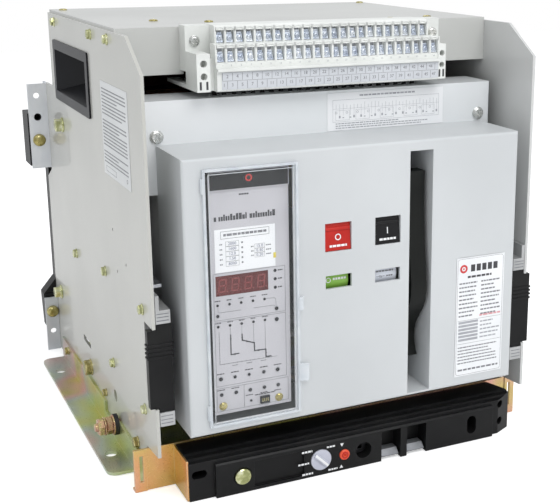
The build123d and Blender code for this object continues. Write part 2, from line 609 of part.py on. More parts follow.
with BuildPart() as splitter_plates:
    for x in POLES:
        for k in range(SPLITTERS):
            y = CHUTE_Y[0] + 10 + k * 10
            prism(front_plane(y), [(x - 43.5, 256), (x - 43.5, 334), (x + 43.5, 334), (x + 43.5, 256), (x + 12, 256),
                                   (x, 276), (x - 12, 256)], -2)
save(splitter_plates, "splitter_plates")

# Main shaft with the moving contacts, standing open.
with BuildPart() as main_shaft:
    rod("X", -BODY_X - 3, BODY_X + 3, (SHAFT_Y, SHAFT_Z), SHAFT_R)
save(main_shaft, "main_shaft")

with BuildPart() as closed_contacts:
    for x in POLES:
        for k in range(6):
            middle = x + (k - 2.5) * 12.5
            block((middle - 5, middle + 5), (40, 54), (128, 240))
            block((middle - 5, middle + 5), (53, FIXED_FACE - 0.6), (212, 236))
    rod("X", -BODY_X, BODY_X, (SHAFT_Y, SHAFT_Z), SHAFT_R, Mode.SUBTRACT)
with BuildPart() as closed_carriers:
    for x in POLES:
        block((x - 38, x + 38), (15, 40), (124, 156))
    rod("X", -BODY_X, BODY_X, (SHAFT_Y, SHAFT_Z), SHAFT_R, Mode.SUBTRACT)
SHAFT_AXIS = Axis((0, SHAFT_Y, SHAFT_Z), (1, 0, 0))
with BuildPart() as moving_contacts:
    add(closed_contacts.part.rotate(SHAFT_AXIS, OPEN_ANGLE))
save(moving_contacts, "moving_contacts")
with BuildPart() as contact_carriers:
    add(closed_carriers.part.rotate(SHAFT_AXIS, OPEN_ANGLE))
save(contact_carriers, "contact_carriers")

# ================= breaker: mechanism and accessories =================
# Grey steel sides of the breaker; their lugs ride on the guide rails.
with BuildPart() as body_side_plates:
    for side in (-1, 1):
        wall = sorted((side * 168.5, side * 171.5))
        block(wall, (PANEL_FACE + 5, BODY_REAR), (75, 330))
        block(sorted((side * 171.5, side * 181.4)), (-180, 80), (93.4, 99))
        rod("X", wall[0] - 1, wall[1] + 1, (SHAFT_Y, SHAFT_Z), 14, Mode.SUBTRACT)
    for y, z in ((-178, 81), (-178, 320), (-76, 81), (-76, 322)):
        rod("X", -168.5, 168.5, (y, z), 4)
save(body_side_plates, "body_side_plates")

MECH_PLATES = (-58.0, 100.0)
with BuildPart() as mechanism_frame:
    for x in MECH_PLATES:
        block((x - 1.5, x + 1.5), (-174, -81), (95, 316))
    for y, z in ((-165, 300), (-95, 300), (-95, 105)):
        rod("X", MECH_PLATES[0], MECH_PLATES[1], (y, z), 5)
save(mechanism_frame, "mechanism_frame")

with BuildPart() as closing_spring:
    rod("Z", 130, 240, (85, -110), 11)
    rod("Z", 125, 245, (85, -110), 7, Mode.SUBTRACT)
save(closing_spring, "closing_spring")

with BuildPart() as motor_operator:
    block((106, 160), (-165, -90), (100, 150))
    rod("Z", 150, 215, (133, -128), 22)
    fillet(motor_operator.edges().filter_by(GeomType.CIRCLE).sort_by(Axis.Z)[-1], 4)
save(motor_operator, "motor_operator")

with BuildPart() as release_coils:
    for x in (-40, -8, 24):
        block((x - 12, x + 12), (-150, -110), (244, 290))
        rod("Z", 290, 298, (x, -130), 4)
save(release_coils, "release_coils")

with BuildPart() as auxiliary_switch:
    block((106, 160), (-168, -100), (232, 300))
    for k in range(4):
        block((110 + k * 12, 118 + k * 12), (-172, -168), (240, 292))
save(auxiliary_switch, "auxiliary_switch")

# Plug that meets the terminal block's contacts from below.
with BuildPart() as secondary_plug:
    block((-116, 112), (-176, -160), (340, 366))
    for k in range(UPPER_CELLS):
        x = UPPER_START + k * CELL_PITCH
        block((x - 2, x + 2), (-170, -168), (366, 374.5))
save(secondary_plug, "secondary_plug")

# ================= breaker: front =================
CONTROL_X = (-152.0, -69.0)     # window for the controller
CONTROL_Z = (79.5, 315.5)
BUTTONS = {"off": (-24.3, 243.3), "on": (27.7, 243.8)}
BUTTON_SIZE = 26.2
FLAGS = {"contact": (-24.0, 199.9), "spring": (27.8, 199.3)}
FLAG_SIZE = (27.0, 13.0)
SLOT_X = (51.0, 76.0)
SLOT_Z = (72.4, 318.0)
SLOT_BACK = -205.0

with BuildPart() as upper_panel:
    block((-PANEL_X, PANEL_X), (PANEL_FACE, PANEL_FACE + 3), (PANEL_LOW, PANEL_HIGH))
    block((-160, 160), (PANEL_FACE - 1, PANEL_FACE + 4), (PANEL_LOW - 1, 322), Mode.SUBTRACT)
    block((-PANEL_X, PANEL_X), (PANEL_FACE, PANEL_FACE + 48), (PANEL_HIGH - 2.5, PANEL_HIGH))
    block((-114, 108), (-173, -165), (PANEL_HIGH - 3, PANEL_HIGH + 1), Mode.SUBTRACT)
    for side in (-1, 1):
        block(sorted((side * PANEL_X, side * (PANEL_X - 3))), (PANEL_FACE, PANEL_FACE + 25), (PANEL_LOW, PANEL_HIGH))
        disc(front_plane(PANEL_FACE), (side * 171.5, 336), 3.1, -4, Mode.SUBTRACT)
    fillet(upper_panel.edges().filter_by(Axis.Z).sort_by(Axis.Y)[:2], 1.5)
save(upper_panel, "upper_panel")

with BuildPart() as cover_screws:
    for side in (-1, 1):
        disc(front_plane(PANEL_FACE), (side * 171.5, 336), 6.4, 3.4)
        disc(front_plane(PANEL_FACE), (side * 171.5, 336), 2.9, -12)
        with Locations((side * 171.5, PANEL_FACE - 3.4, 336)):
            Box(8.4, 2.4, 1.4, mode=Mode.SUBTRACT)
            Box(1.4, 2.4, 8.4, mode=Mode.SUBTRACT)
save(cover_screws, "cover_screws")

with BuildPart() as front_cover:
    block((-COVER_X, COVER_X), (COVER_FACE, PANEL_FACE), (COVER_LOW, COVER_HIGH))
    fillet(front_cover.faces().sort_by(Axis.Y)[0].edges(), 2.5)
    block((-COVER_X + COVER_T, COVER_X - COVER_T), (COVER_FACE + COVER_T, PANEL_FACE + 1),
          (COVER_LOW + COVER_T, COVER_HIGH - COVER_T), Mode.SUBTRACT)
    block((SLOT_X[0] - 2.5, SLOT_X[1] + 2.5), (COVER_FACE + 1, SLOT_BACK), (COVER_LOW + 1, SLOT_Z[1] + 2.5))
    block(SLOT_X, (COVER_FACE - 1, SLOT_BACK + 1), SLOT_Z, Mode.SUBTRACT)
    block(CONTROL_X, (COVER_FACE - 1, COVER_FACE + 5), CONTROL_Z, Mode.SUBTRACT)
    for x, z in BUTTONS.values():
        half = BUTTON_SIZE / 2 + 0.5
        block((x - half - 2, x + half + 2), (COVER_FACE + 1, COVER_FACE + 14), (z - half - 2, z + half + 2))
        block((x - half, x + half), (COVER_FACE - 1, COVER_FACE + 15), (z - half, z + half), Mode.SUBTRACT)
    for x, z in FLAGS.values():
        half_x, half_z = FLAG_SIZE[0] / 2, FLAG_SIZE[1] / 2
        block((x - half_x, x + half_x), (COVER_FACE - 1, COVER_FACE + 5), (z - half_z, z + half_z), Mode.SUBTRACT)
save(front_cover, "front_cover")

# Controller: a boxed unit whose face plate stands just inside the window.
CONTROL_FACE = -258.5
RESET = (-110.2, 307.0)
with BuildPart() as controller_unit:
    block((-149, -72), (CONTROL_FACE + 3, -112), (87, 312))
    rod("Y", CONTROL_FACE, CONTROL_FACE + 9, RESET, 4.3, Mode.SUBTRACT)
save(controller_unit, "controller_unit")

DISPLAY = ((-143.0, -92.5), (199.5, 218.5))
with BuildPart() as controller_panel:
    block((-147, -71.5), (CONTROL_FACE, CONTROL_FACE + 3), (85, 297))
    block((-147, -71.5), (CONTROL_FACE - 1.5, CONTROL_FACE + 3), (297, 314))
    rod("Y", CONTROL_FACE - 3, CONTROL_FACE + 4, RESET, 4.3, Mode.SUBTRACT)
    block(DISPLAY[0], (CONTROL_FACE - 1, CONTROL_FACE + 1), DISPLAY[1], Mode.SUBTRACT)
save(controller_panel, "controller_panel")

with BuildPart() as reset_button:
    rod("Y", CONTROL_FACE - 2.6, CONTROL_FACE + 6, RESET, 3.9)
    chamfer(reset_button.edges().filter_by(GeomType.CIRCLE).sort_by(Axis.Y)[0], 0.6)
save(reset_button, "reset_button")

# Clear hinged window over the controller, with its catch and finger tab on the right.
WINDOW_X = (-155.0, -65.5)
WINDOW_Z = (77.0, 318.5)
WINDOW_BACK = COVER_FACE - 0.4
WINDOW_HINGE = (-155.5, -266.5)
with BuildPart() as controller_window:
    block(WINDOW_X, (WINDOW_BACK - 3.2, WINDOW_BACK), WINDOW_Z)
    block((WINDOW_X[0] + 4, WINDOW_X[1] - 4), (WINDOW_BACK - 1.6, WINDOW_BACK + 1), (WINDOW_Z[0] + 4, WINDOW_Z[1] - 4),
          Mode.SUBTRACT)
    for z in (92, 304):
        rod("Z", z - 7, z + 7, WINDOW_HINGE, 1.5)
    block((-66, -61.5), (WINDOW_BACK - 3.2, WINDOW_BACK), (178, 191))
    prism(Plane.XY.offset(108), [(-66, WINDOW_BACK), (-66, WINDOW_BACK - 3.2), (-57.5, -LIMIT_Y), (-56.5, -LIMIT_Y + 1.6),
                                 (-64, WINDOW_BACK)], 17)
save(controller_window, "controller_window")


def push_button(x, z):
    """Square push button: a slightly dished cap on a short stem."""
    half = BUTTON_SIZE / 2
    prism(side_plane(x - half), [(COVER_FACE + 11, z - half), (COVER_FACE + 0.6, z - half), (COVER_FACE + 3.2, z + half),
                                 (COVER_FACE + 11, z + half)], BUTTON_SIZE)
    rod("Y", COVER_FACE + 11, COVER_FACE + 30, (x, z), 4)


with BuildPart() as off_button:
    push_button(*BUTTONS["off"])
save(off_button, "off_button")

with BuildPart() as on_button:
    push_button(*BUTTONS["on"])
save(on_button, "on_button")


def flag(x, z):
    """Indicator: a curved face on an arm that turns about a pin across the breaker."""
    arm_y = COVER_FACE + 26
    with BuildSketch(side_plane(x - 12.5)) as profile:
        with Locations((arm_y, z)):
            Circle(20)
            Circle(18, mode=Mode.SUBTRACT)
            with Locations((6, 0)):
                Rectangle(40, 60, mode=Mode.SUBTRACT)
    extrude(profile.sketch, amount=25)
    block((x - 2, x + 2), (arm_y - 19, arm_y), (z - 3, z + 3))
    rod("X", x - 12, x + 12, (arm_y, z), 3)


with BuildPart() as contact_flag:
    flag(*FLAGS["contact"])
save(contact_flag, "contact_flag")

with BuildPart() as spring_flag:
    flag(*FLAGS["spring"])
save(spring_flag, "spring_flag")

# Charging handle: a bellied lever that pulls forward and down out of its slot.
with BuildPart() as charging_handle:
    with BuildSketch(side_plane(HANDLE_X - 8.5)):
        with BuildLine():
            belly = Spline((-255.5, 296), (-256, 250), (-261.5, 196), (-263, 182), (-258, 160), (-247, 144), (-245.5, 104))
            RadiusArc(belly @ 1, (-218, 92), 26)
            Polyline((-218, 92), (-214, 120), (-222, 180), (-235, 250), (-240, 296), belly @ 0)
        make_face()
    extrude(amount=17)
    rod("X", HANDLE_X - 12, HANDLE_X + 12, HANDLE_PIVOT, 4)
save(charging_handle, "charging_handle")

# Labels on the breaker: the rating plate on the cover and the wiring diagram on the panel.
with BuildPart() as breaker_labels:
    block((105, 161), (COVER_FACE - 0.4, COVER_FACE), (79.5, 205.5))
    block((-1, 129), (PANEL_FACE - 0.4, PANEL_FACE), (329, 366))
save(breaker_labels, "breaker_labels")
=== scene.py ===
import math
import random
import bmesh
import bpy
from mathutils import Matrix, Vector


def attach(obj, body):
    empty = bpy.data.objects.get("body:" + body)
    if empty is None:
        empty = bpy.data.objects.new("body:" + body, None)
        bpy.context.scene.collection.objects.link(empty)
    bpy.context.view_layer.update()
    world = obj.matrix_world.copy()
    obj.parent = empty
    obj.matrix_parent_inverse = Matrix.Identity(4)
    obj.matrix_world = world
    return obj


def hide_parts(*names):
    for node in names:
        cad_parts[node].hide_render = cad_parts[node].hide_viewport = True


# Looks for the air circuit breaker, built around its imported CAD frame.
# Shapes are written in millimetres, in the frame's axes, and become metres when a piece is finished.
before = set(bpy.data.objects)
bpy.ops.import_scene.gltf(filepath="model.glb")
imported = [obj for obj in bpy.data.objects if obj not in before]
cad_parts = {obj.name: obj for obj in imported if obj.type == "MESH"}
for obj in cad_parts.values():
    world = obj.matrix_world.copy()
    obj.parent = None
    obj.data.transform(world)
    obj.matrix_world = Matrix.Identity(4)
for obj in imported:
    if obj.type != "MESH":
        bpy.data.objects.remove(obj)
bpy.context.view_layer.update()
MM = 0.001


# ================= camera, light and floor =================
def add_object(name, data):
    made = bpy.data.objects.new(name, data)
    bpy.context.scene.collection.objects.link(made)
    return made


def area_light(name, place, target, size, power):
    data = bpy.data.lights.new(name, "AREA")
    data.shape = "RECTANGLE"
    data.size, data.size_y = size
    data.energy = power
    lamp = add_object(name, data)
    lamp.location = place
    lamp.rotation_euler = (Vector(target) - Vector(place)).to_track_quat("-Z", "Y").to_euler()


camera_data = bpy.data.cameras.new("camera")
camera = add_object("camera", camera_data)
camera.location = (-0.44396, -1.16627, 0.51363)
camera.rotation_euler = (math.radians(75.189), math.radians(-0.295), math.radians(-26.698))
camera_data.lens = 71.158
camera_data.sensor_width = 36
camera_data.shift_x = -0.1650
camera_data.shift_y = -0.0407
camera_data.clip_start, camera_data.clip_end = 0.05, 50
bpy.context.scene.camera = camera
bpy.context.scene.view_settings.view_transform = "Standard"

world = bpy.data.worlds.new("studio")
bpy.context.scene.world = world
world.use_nodes = True
sky = world.node_tree
sky.nodes.clear()
seen = sky.nodes.new("ShaderNodeBackground")
seen.inputs["Color"].default_value = (1, 1, 1, 1)
seen.inputs["Strength"].default_value = 1.0
lit = sky.nodes.new("ShaderNodeBackground")
lit.inputs["Color"].default_value = (0.97, 0.985, 1, 1)
lit.inputs["Strength"].default_value = 0.74
path = sky.nodes.new("ShaderNodeLightPath")
choose = sky.nodes.new("ShaderNodeMixShader")
out = sky.nodes.new("ShaderNodeOutputWorld")
sky.links.new(path.outputs["Is Camera Ray"], choose.inputs[0])
sky.links.new(lit.outputs[0], choose.inputs[1])
sky.links.new(seen.outputs[0], choose.inputs[2])
sky.links.new(choose.outputs[0], out.inputs["Surface"])

area_light("key", (0.15, -1.6, 2.0), (0, -0.1, 0.25), (1.5, 1.0), 24)
area_light("fill", (1.6, -1.2, 0.7), (0, -0.2, 0.2), (1.0, 1.0), 2)
area_light("left", (-1.0, 0.25, 1.15), (-0.2, 0, 0.4), (0.5, 0.5), 1.4)
area_light("rim", (0.6, 1.4, 1.6), (0, 0.1, 0.3), (1.4, 1.0), 2)


# ================= materials =================
def linear(colour):
    """sRGB 0 to 255 as a linear RGBA."""
    values = [c / 255 for c in colour]
    return tuple(v / 12.92 if v <= 0.04045 else ((v + 0.055) / 1.055) ** 2.4 for v in values) + (1.0,)


MATERIALS = {}
HIGHLIGHT_START, HIGHLIGHT_FULL = 0.995, 0.85     # where the painted edge highlight starts and where it is full: how far an edge's rounded normal turns from its face, as a cosine
GRAIN_LOW, GRAIN_HIGH = 0.3, 0.7        # the part of the grain's noise that spans the roughness range


def colour_socket(sockets, name):
    """A Mix node has one socket of each name per data type; this is the one for colour."""
    return [s for s in sockets if s.type == "RGBA" and s.name == name][0]


def surface(name, tones, rough=(0.4, 0.5), metal=0.0, patch=14.0, grain=900.0, bump=0.12, relief=0.05,
            stretch=(1, 1, 1), edge_highlight=None, edge_width=0.45, coat=0.0, coat_rough=0.1, spread=(0.35, 0.65),
            alpha=1.0, specular=0.5, detail=4.0):
    """A procedural finish: tones drift over patches, and a fine grain drives roughness and bump.
    Edges can get a painted highlight, a lighter colour where the rounded normal turns from the face. patch
    and grain are per metre; relief and edge_width are in millimetres."""
    made = bpy.data.materials.new(name)
    made.use_nodes = True
    tree = made.node_tree
    shader = tree.nodes["Principled BSDF"]

    def add(kind, **settings):
        node = tree.nodes.new("ShaderNode" + kind)
        for key, value in settings.items():
            setattr(node, key, value)
        return node

    place = add("TexCoord")
    mapping = add("Mapping")
    mapping.inputs["Scale"].default_value = stretch
    tree.links.new(place.outputs["Object"], mapping.inputs["Vector"])
    cloud = add("TexNoise")
    cloud.inputs["Scale"].default_value = patch
    cloud.inputs["Detail"].default_value = detail
    tree.links.new(mapping.outputs[0], cloud.inputs["Vector"])
    ramp = add("ValToRGB")
    stops = ramp.color_ramp.elements
    low, high = spread
    while len(stops) < len(tones):
        stops.new(0.5)
    for k, tone in enumerate(tones):
        stops[k].position = low + (high - low) * k / max(1, len(tones) - 1)
        stops[k].color = linear(tone)
    tree.links.new(cloud.outputs[0], ramp.inputs[0])
    colour = ramp.outputs[0]
    rounded = add("Bevel", samples=4)
    rounded.inputs["Radius"].default_value = edge_width * MM
    # Painted highlight: edges are mixed towards a lighter colour where the rounded normal turns from the
    # face, as if light caught them.
    if edge_highlight:
        flat = add("NewGeometry")
        turn = add("VectorMath", operation="DOT_PRODUCT")
        tree.links.new(rounded.outputs[0], turn.inputs[0])
        tree.links.new(flat.outputs["Normal"], turn.inputs[1])
        edge = add("MapRange")
        edge.inputs["From Min"].default_value = HIGHLIGHT_START
        edge.inputs["From Max"].default_value = HIGHLIGHT_FULL
        tree.links.new(turn.outputs["Value"], edge.inputs["Value"])
        blend = add("Mix", data_type="RGBA")
        colour_socket(blend.inputs, "B").default_value = linear(edge_highlight)
        tree.links.new(edge.outputs[0], blend.inputs[0])
        tree.links.new(colour, colour_socket(blend.inputs, "A"))
        colour = colour_socket(blend.outputs, "Result")
    tree.links.new(colour, shader.inputs["Base Color"])
    fine = add("TexNoise")
    fine.inputs["Scale"].default_value = grain
    fine.inputs["Detail"].default_value = 2.0
    tree.links.new(mapping.outputs[0], fine.inputs["Vector"])
    gloss = add("MapRange")
    gloss.inputs["From Min"].default_value = GRAIN_LOW
    gloss.inputs["From Max"].default_value = GRAIN_HIGH
    gloss.inputs["To Min"].default_value = rough[0]
    gloss.inputs["To Max"].default_value = rough[1]
    tree.links.new(fine.outputs[0], gloss.inputs["Value"])
    tree.links.new(gloss.outputs[0], shader.inputs["Roughness"])
    dent = add("Bump")
    dent.inputs["Strength"].default_value = bump
    dent.inputs["Distance"].default_value = relief * MM
    tree.links.new(fine.outputs[0], dent.inputs["Height"])
    tree.links.new(rounded.outputs[0], dent.inputs["Normal"])
    tree.links.new(dent.outputs[0], shader.inputs["Normal"])
    shader.inputs["Metallic"].default_value = metal
    shader.inputs["Specular IOR Level"].default_value = specular
    shader.inputs["Alpha"].default_value = alpha
    if coat:
        shader.inputs["Coat Weight"].default_value = coat
        shader.inputs["Coat Roughness"].default_value = coat_rough
    MATERIALS[name] = made


PAINT = [(181, 181, 175), (186, 186, 180), (190, 190, 184)]
surface("plate_paint", PAINT, (0.30, 0.38), patch=7, grain=520, bump=0.12, relief=0.03, edge_highlight=(226, 227, 226),
        coat=0.55, coat_rough=0.04)
# A lighter copy of the side plates' paint for the right plate's inner face: painted light lifting a face that
# stands in shade.
surface("plate_paint_lit", [(194, 195, 194), (199, 200, 199), (204, 205, 204)], (0.34, 0.42), patch=7, grain=520,
        bump=0.12, relief=0.03, edge_highlight=(232, 234, 236), coat=0.3, coat_rough=0.08)
surface("top_paint", [(186, 187, 184), (192, 193, 190), (197, 198, 195)], (0.34, 0.42), patch=6, grain=520,
        bump=0.3, relief=0.05, edge_highlight=(222, 222, 220), coat=0.35, coat_rough=0.12)
surface("side_steel", [(186, 187, 188), (196, 197, 198), (206, 207, 207)], (0.36, 0.5), patch=22, grain=500,
        edge_highlight=(222, 222, 222))
ZINC = [(176, 170, 84), (206, 200, 110), (196, 206, 150), (190, 200, 190), (218, 184, 176), (208, 196, 120),
        (178, 168, 84)]
surface("zinc_yellow", ZINC, (0.26, 0.36), metal=0.8, patch=8, grain=700, bump=0.12, relief=0.03,
        spread=(0.3, 0.7), edge_highlight=(232, 230, 200), detail=2)
surface("zinc_rose", [(196, 186, 96), (214, 190, 110), (226, 170, 120), (228, 176, 160), (206, 190, 110)],
        (0.26, 0.36), metal=0.8, patch=11, grain=700, bump=0.12, relief=0.03, spread=(0.3, 0.7),
        edge_highlight=(236, 226, 190), detail=2)
surface("zinc_clear", [(182, 184, 180), (204, 206, 204), (222, 222, 218)], (0.2, 0.34), metal=0.9, patch=60,
        grain=900, edge_highlight=(232, 232, 230))
surface("bracket_zinc", [(206, 210, 216), (218, 221, 226), (230, 232, 235)], (0.3, 0.42), metal=0.45,
        patch=30, grain=600, edge_highlight=(226, 228, 230), stretch=(1, 1, 0.4))
surface("black_moulding", [(13, 13, 14), (19, 19, 20), (26, 26, 26)], (0.32, 0.46), patch=16, grain=1300,
        bump=0.35, relief=0.05, edge_highlight=(54, 54, 56), specular=0.22)
surface("cover_grey", [(194, 197, 199), (199, 202, 204), (204, 207, 209)], (0.36, 0.44), patch=5, grain=1300,
        bump=0.2, relief=0.035, edge_highlight=(226, 228, 230), edge_width=0.6)
# A lighter, glossier copy of the cover grey for the set-back upper panel: painted light making up for the
# shade the panel gets.
surface("cover_grey_lit", [(218, 221, 223), (223, 226, 228), (228, 230, 232)], (0.28, 0.36), patch=5, grain=1300,
        bump=0.15, relief=0.03, edge_highlight=(236, 238, 240), coat=0.3, coat_rough=0.08)
surface("terminal_grey", [(218, 220, 217), (225, 227, 224), (231, 233, 230)], (0.36, 0.46), patch=30,
        grain=1200, edge_highlight=(234, 236, 236), edge_width=0.35)
surface("rail_grey", [(160, 161, 161), (176, 177, 177), (188, 189, 190)], (0.3, 0.45), metal=0.35, patch=24,
        grain=500, edge_highlight=(214, 215, 216), stretch=(1, 0.25, 1))
surface("copper", [(168, 96, 62), (190, 112, 74), (204, 130, 92)], (0.22, 0.36), metal=1.0, patch=24,
        grain=600, edge_highlight=(226, 160, 120), stretch=(1, 0.3, 1))
surface("controller_face", [(184, 183, 188), (190, 189, 194), (194, 193, 198)], (0.36, 0.46), patch=16,
        grain=1500, bump=0.12, relief=0.02, edge_highlight=(212, 212, 216))
surface("controller_case", [(32, 31, 32), (42, 41, 42)], (0.4, 0.5), patch=20, grain=900, edge_highlight=(76, 75, 76),
        specular=0.2)
surface("button_red", [(178, 32, 24), (192, 42, 32)], (0.3, 0.38), patch=40, grain=1800, edge_highlight=(226, 96, 80),
        specular=0.3)
surface("button_black", [(20, 20, 22), (27, 27, 29)], (0.3, 0.4), patch=40, grain=1800, edge_highlight=(96, 96, 100),
        specular=0.25)
surface("release_red", [(226, 72, 40), (236, 88, 52)], (0.3, 0.4), patch=60, grain=1500, edge_highlight=(244, 140, 108))
surface("knob_grey", [(182, 184, 198), (196, 198, 210)], (0.34, 0.44), patch=60, grain=1300,
        edge_highlight=(232, 233, 240))
surface("flag_green", [(136, 186, 76), (146, 196, 86)], (0.34, 0.44), patch=40, grain=1500,
        edge_highlight=(170, 212, 120))
surface("flag_white", [(214, 219, 230), (224, 228, 236)], (0.34, 0.44), patch=40, grain=1500,
        edge_highlight=(240, 242, 246))
surface("label_white", [(232, 234, 237), (238, 239, 241)], (0.3, 0.4), patch=20, grain=1600, bump=0.08,
        relief=0.02, coat=0.25, coat_rough=0.15)
surface("strip_card", [(200, 203, 208), (206, 209, 214)], (0.4, 0.5), patch=14, grain=1600, bump=0.08,
        relief=0.02)
surface("board_brown", [(52, 30, 28), (70, 42, 38), (84, 54, 48)], (0.5, 0.62), patch=30, grain=700, bump=0.3,
        edge_highlight=(110, 80, 72), specular=0.25)
surface("label_grey", [(214, 216, 217), (221, 223, 224)], (0.4, 0.5), patch=14, grain=1600, bump=0.08,
        relief=0.02)
surface("handle_black", [(13, 15, 13), (20, 22, 20)], (0.36, 0.48), patch=30, grain=1600, bump=0.3,
        edge_highlight=(62, 66, 62), specular=0.22)
# A darkened steel for the racking screw, which is seen only deep in the crank socket: painted shade of the
# socket's inside.
surface("shaded_steel", [(50, 50, 52), (70, 70, 73)], (0.3, 0.45), metal=0.8, patch=80, grain=1200,
        edge_highlight=(130, 130, 132))
surface("tab_steel", [(112, 114, 118), (138, 140, 144)], (0.34, 0.46), metal=0.5, patch=60, grain=1200,
        edge_highlight=(176, 178, 182))
surface("chute_board", [(150, 96, 70), (176, 118, 88)], (0.6, 0.75), patch=60, grain=700, stretch=(1, 1, 0.2))
surface("steel", [(150, 152, 156), (178, 180, 184), (200, 202, 206)], (0.26, 0.4), metal=0.9, patch=50,
        grain=900, edge_highlight=(222, 224, 226))
surface("coil_wrap", [(186, 142, 46), (206, 162, 62)], (0.4, 0.55), patch=60, grain=1200, stretch=(1, 1, 6))
surface("window_clear", [(226, 232, 236), (240, 244, 246)], (0.03, 0.06), patch=10, grain=300, bump=0.02,
        relief=0.01, alpha=0.03, specular=0.15)
surface("window_edge", [(214, 222, 230), (238, 242, 246)], (0.06, 0.14), patch=60, grain=500, bump=0.05,
        relief=0.02, alpha=0.5, edge_highlight=(255, 255, 255), edge_width=0.7)
surface("gold_zinc", [(150, 140, 84), (180, 168, 108), (206, 198, 150)], (0.16, 0.28), metal=0.92, patch=160,
        grain=900, edge_highlight=(236, 228, 186), edge_width=0.3)
surface("green_zinc", [(160, 164, 112), (200, 202, 150), (232, 232, 200)], (0.14, 0.24), metal=0.92,
        patch=160, grain=700, bump=0.08, edge_highlight=(244, 244, 220), edge_width=0.3)
surface("clamp_zinc", [(176, 186, 204), (204, 212, 224), (228, 232, 238)], (0.2, 0.32), metal=0.5, patch=160,
        grain=900, edge_highlight=(244, 246, 250), edge_width=0.3)
surface("rose_zinc", [(196, 150, 130), (212, 176, 140), (200, 190, 130)], (0.2, 0.32), metal=0.92, patch=160,
        grain=900, edge_highlight=(238, 220, 196), edge_width=0.3)
surface("washer_black", [(26, 26, 27), (34, 34, 35)], (0.5, 0.6), patch=80, grain=1500)
INKS = {"ink_dark": [(52, 52, 56), (66, 66, 70)], "ink_grey": [(112, 113, 118), (130, 131, 136)],
        "ink_pale": [(158, 160, 166), (172, 174, 180)], "ink_blue": [(70, 78, 116), (86, 92, 128)],
        "ink_red": [(196, 58, 62), (208, 70, 72)], "ink_rose": [(212, 150, 156), (222, 164, 168)]}
for ink, tones in INKS.items():
    surface(ink, tones, (0.45, 0.6), patch=120, grain=2000, bump=0.05, relief=0.01)
surface("ink_white", [(228, 229, 231), (240, 241, 242)], (0.4, 0.5), patch=120, grain=2000, bump=0.05,
        relief=0.01)
surface("display_glass", [(84, 30, 30), (98, 38, 36)], (0.2, 0.3), patch=30, grain=900, bump=0.03,
        relief=0.01, specular=0.2)
surface("digit_red", [(128, 48, 48), (142, 58, 56)], (0.3, 0.4), patch=200, grain=1500)
surface("lamp_dark", [(34, 32, 36), (48, 46, 50)], (0.15, 0.25), patch=300, grain=1500, specular=0.35)
surface("ring_red", [(190, 52, 50), (206, 68, 62)], (0.25, 0.35), patch=300, grain=1500)
surface("socket_dark", [(18, 18, 19), (26, 26, 27)], (0.4, 0.5), patch=120, grain=1500, edge_highlight=(60, 60, 62))
surface("tab_yellow", [(214, 196, 72), (224, 208, 92)], (0.4, 0.5), patch=120, grain=1500)
surface("recess_dark", [(13, 14, 18), (19, 20, 25)], (0.26, 0.38), patch=20, grain=1500, bump=0.3,
        edge_highlight=(46, 47, 53), specular=0.2)

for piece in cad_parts.values():
    for held in piece.material_slots:
        wanted = held.material.name.split(".")[0]
        held.material = MATERIALS[wanted]


def dress(node, name):
    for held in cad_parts[node].material_slots:
        held.material = MATERIALS[name]


# Painted light: the upper panel gets a lighter copy of the cover grey.
dress("upper_panel", "cover_grey_lit")
# Painted light: the right plate's inner face gets a lighter copy of the plate paint.
dress("right_side_plate", "plate_paint_lit")
dress("handle_recesses", "recess_dark")
# Painted shade: the racking screw inside the crank socket gets a darkened steel.
dress("racking_screw", "shaded_steel")
dress("locking_tabs", "tab_steel")
dress("crank_handle", "green_zinc")
dress("front_cross_plate", "zinc_rose")
dress("reset_button", "socket_dark")


# ================= building shapes =================
SHARP_DEG = 35                # an edge that turns more than this stays sharp
BEVEL_DEG = 40                # an edge that turns more than this is bevelled, where a piece asks for it
FONT_SIZE = 1.35              # size of the font for figures of height 1
SUNK, PROUD = -0.05, 0.08     # how deep print starts in its surface, and how far it stands out


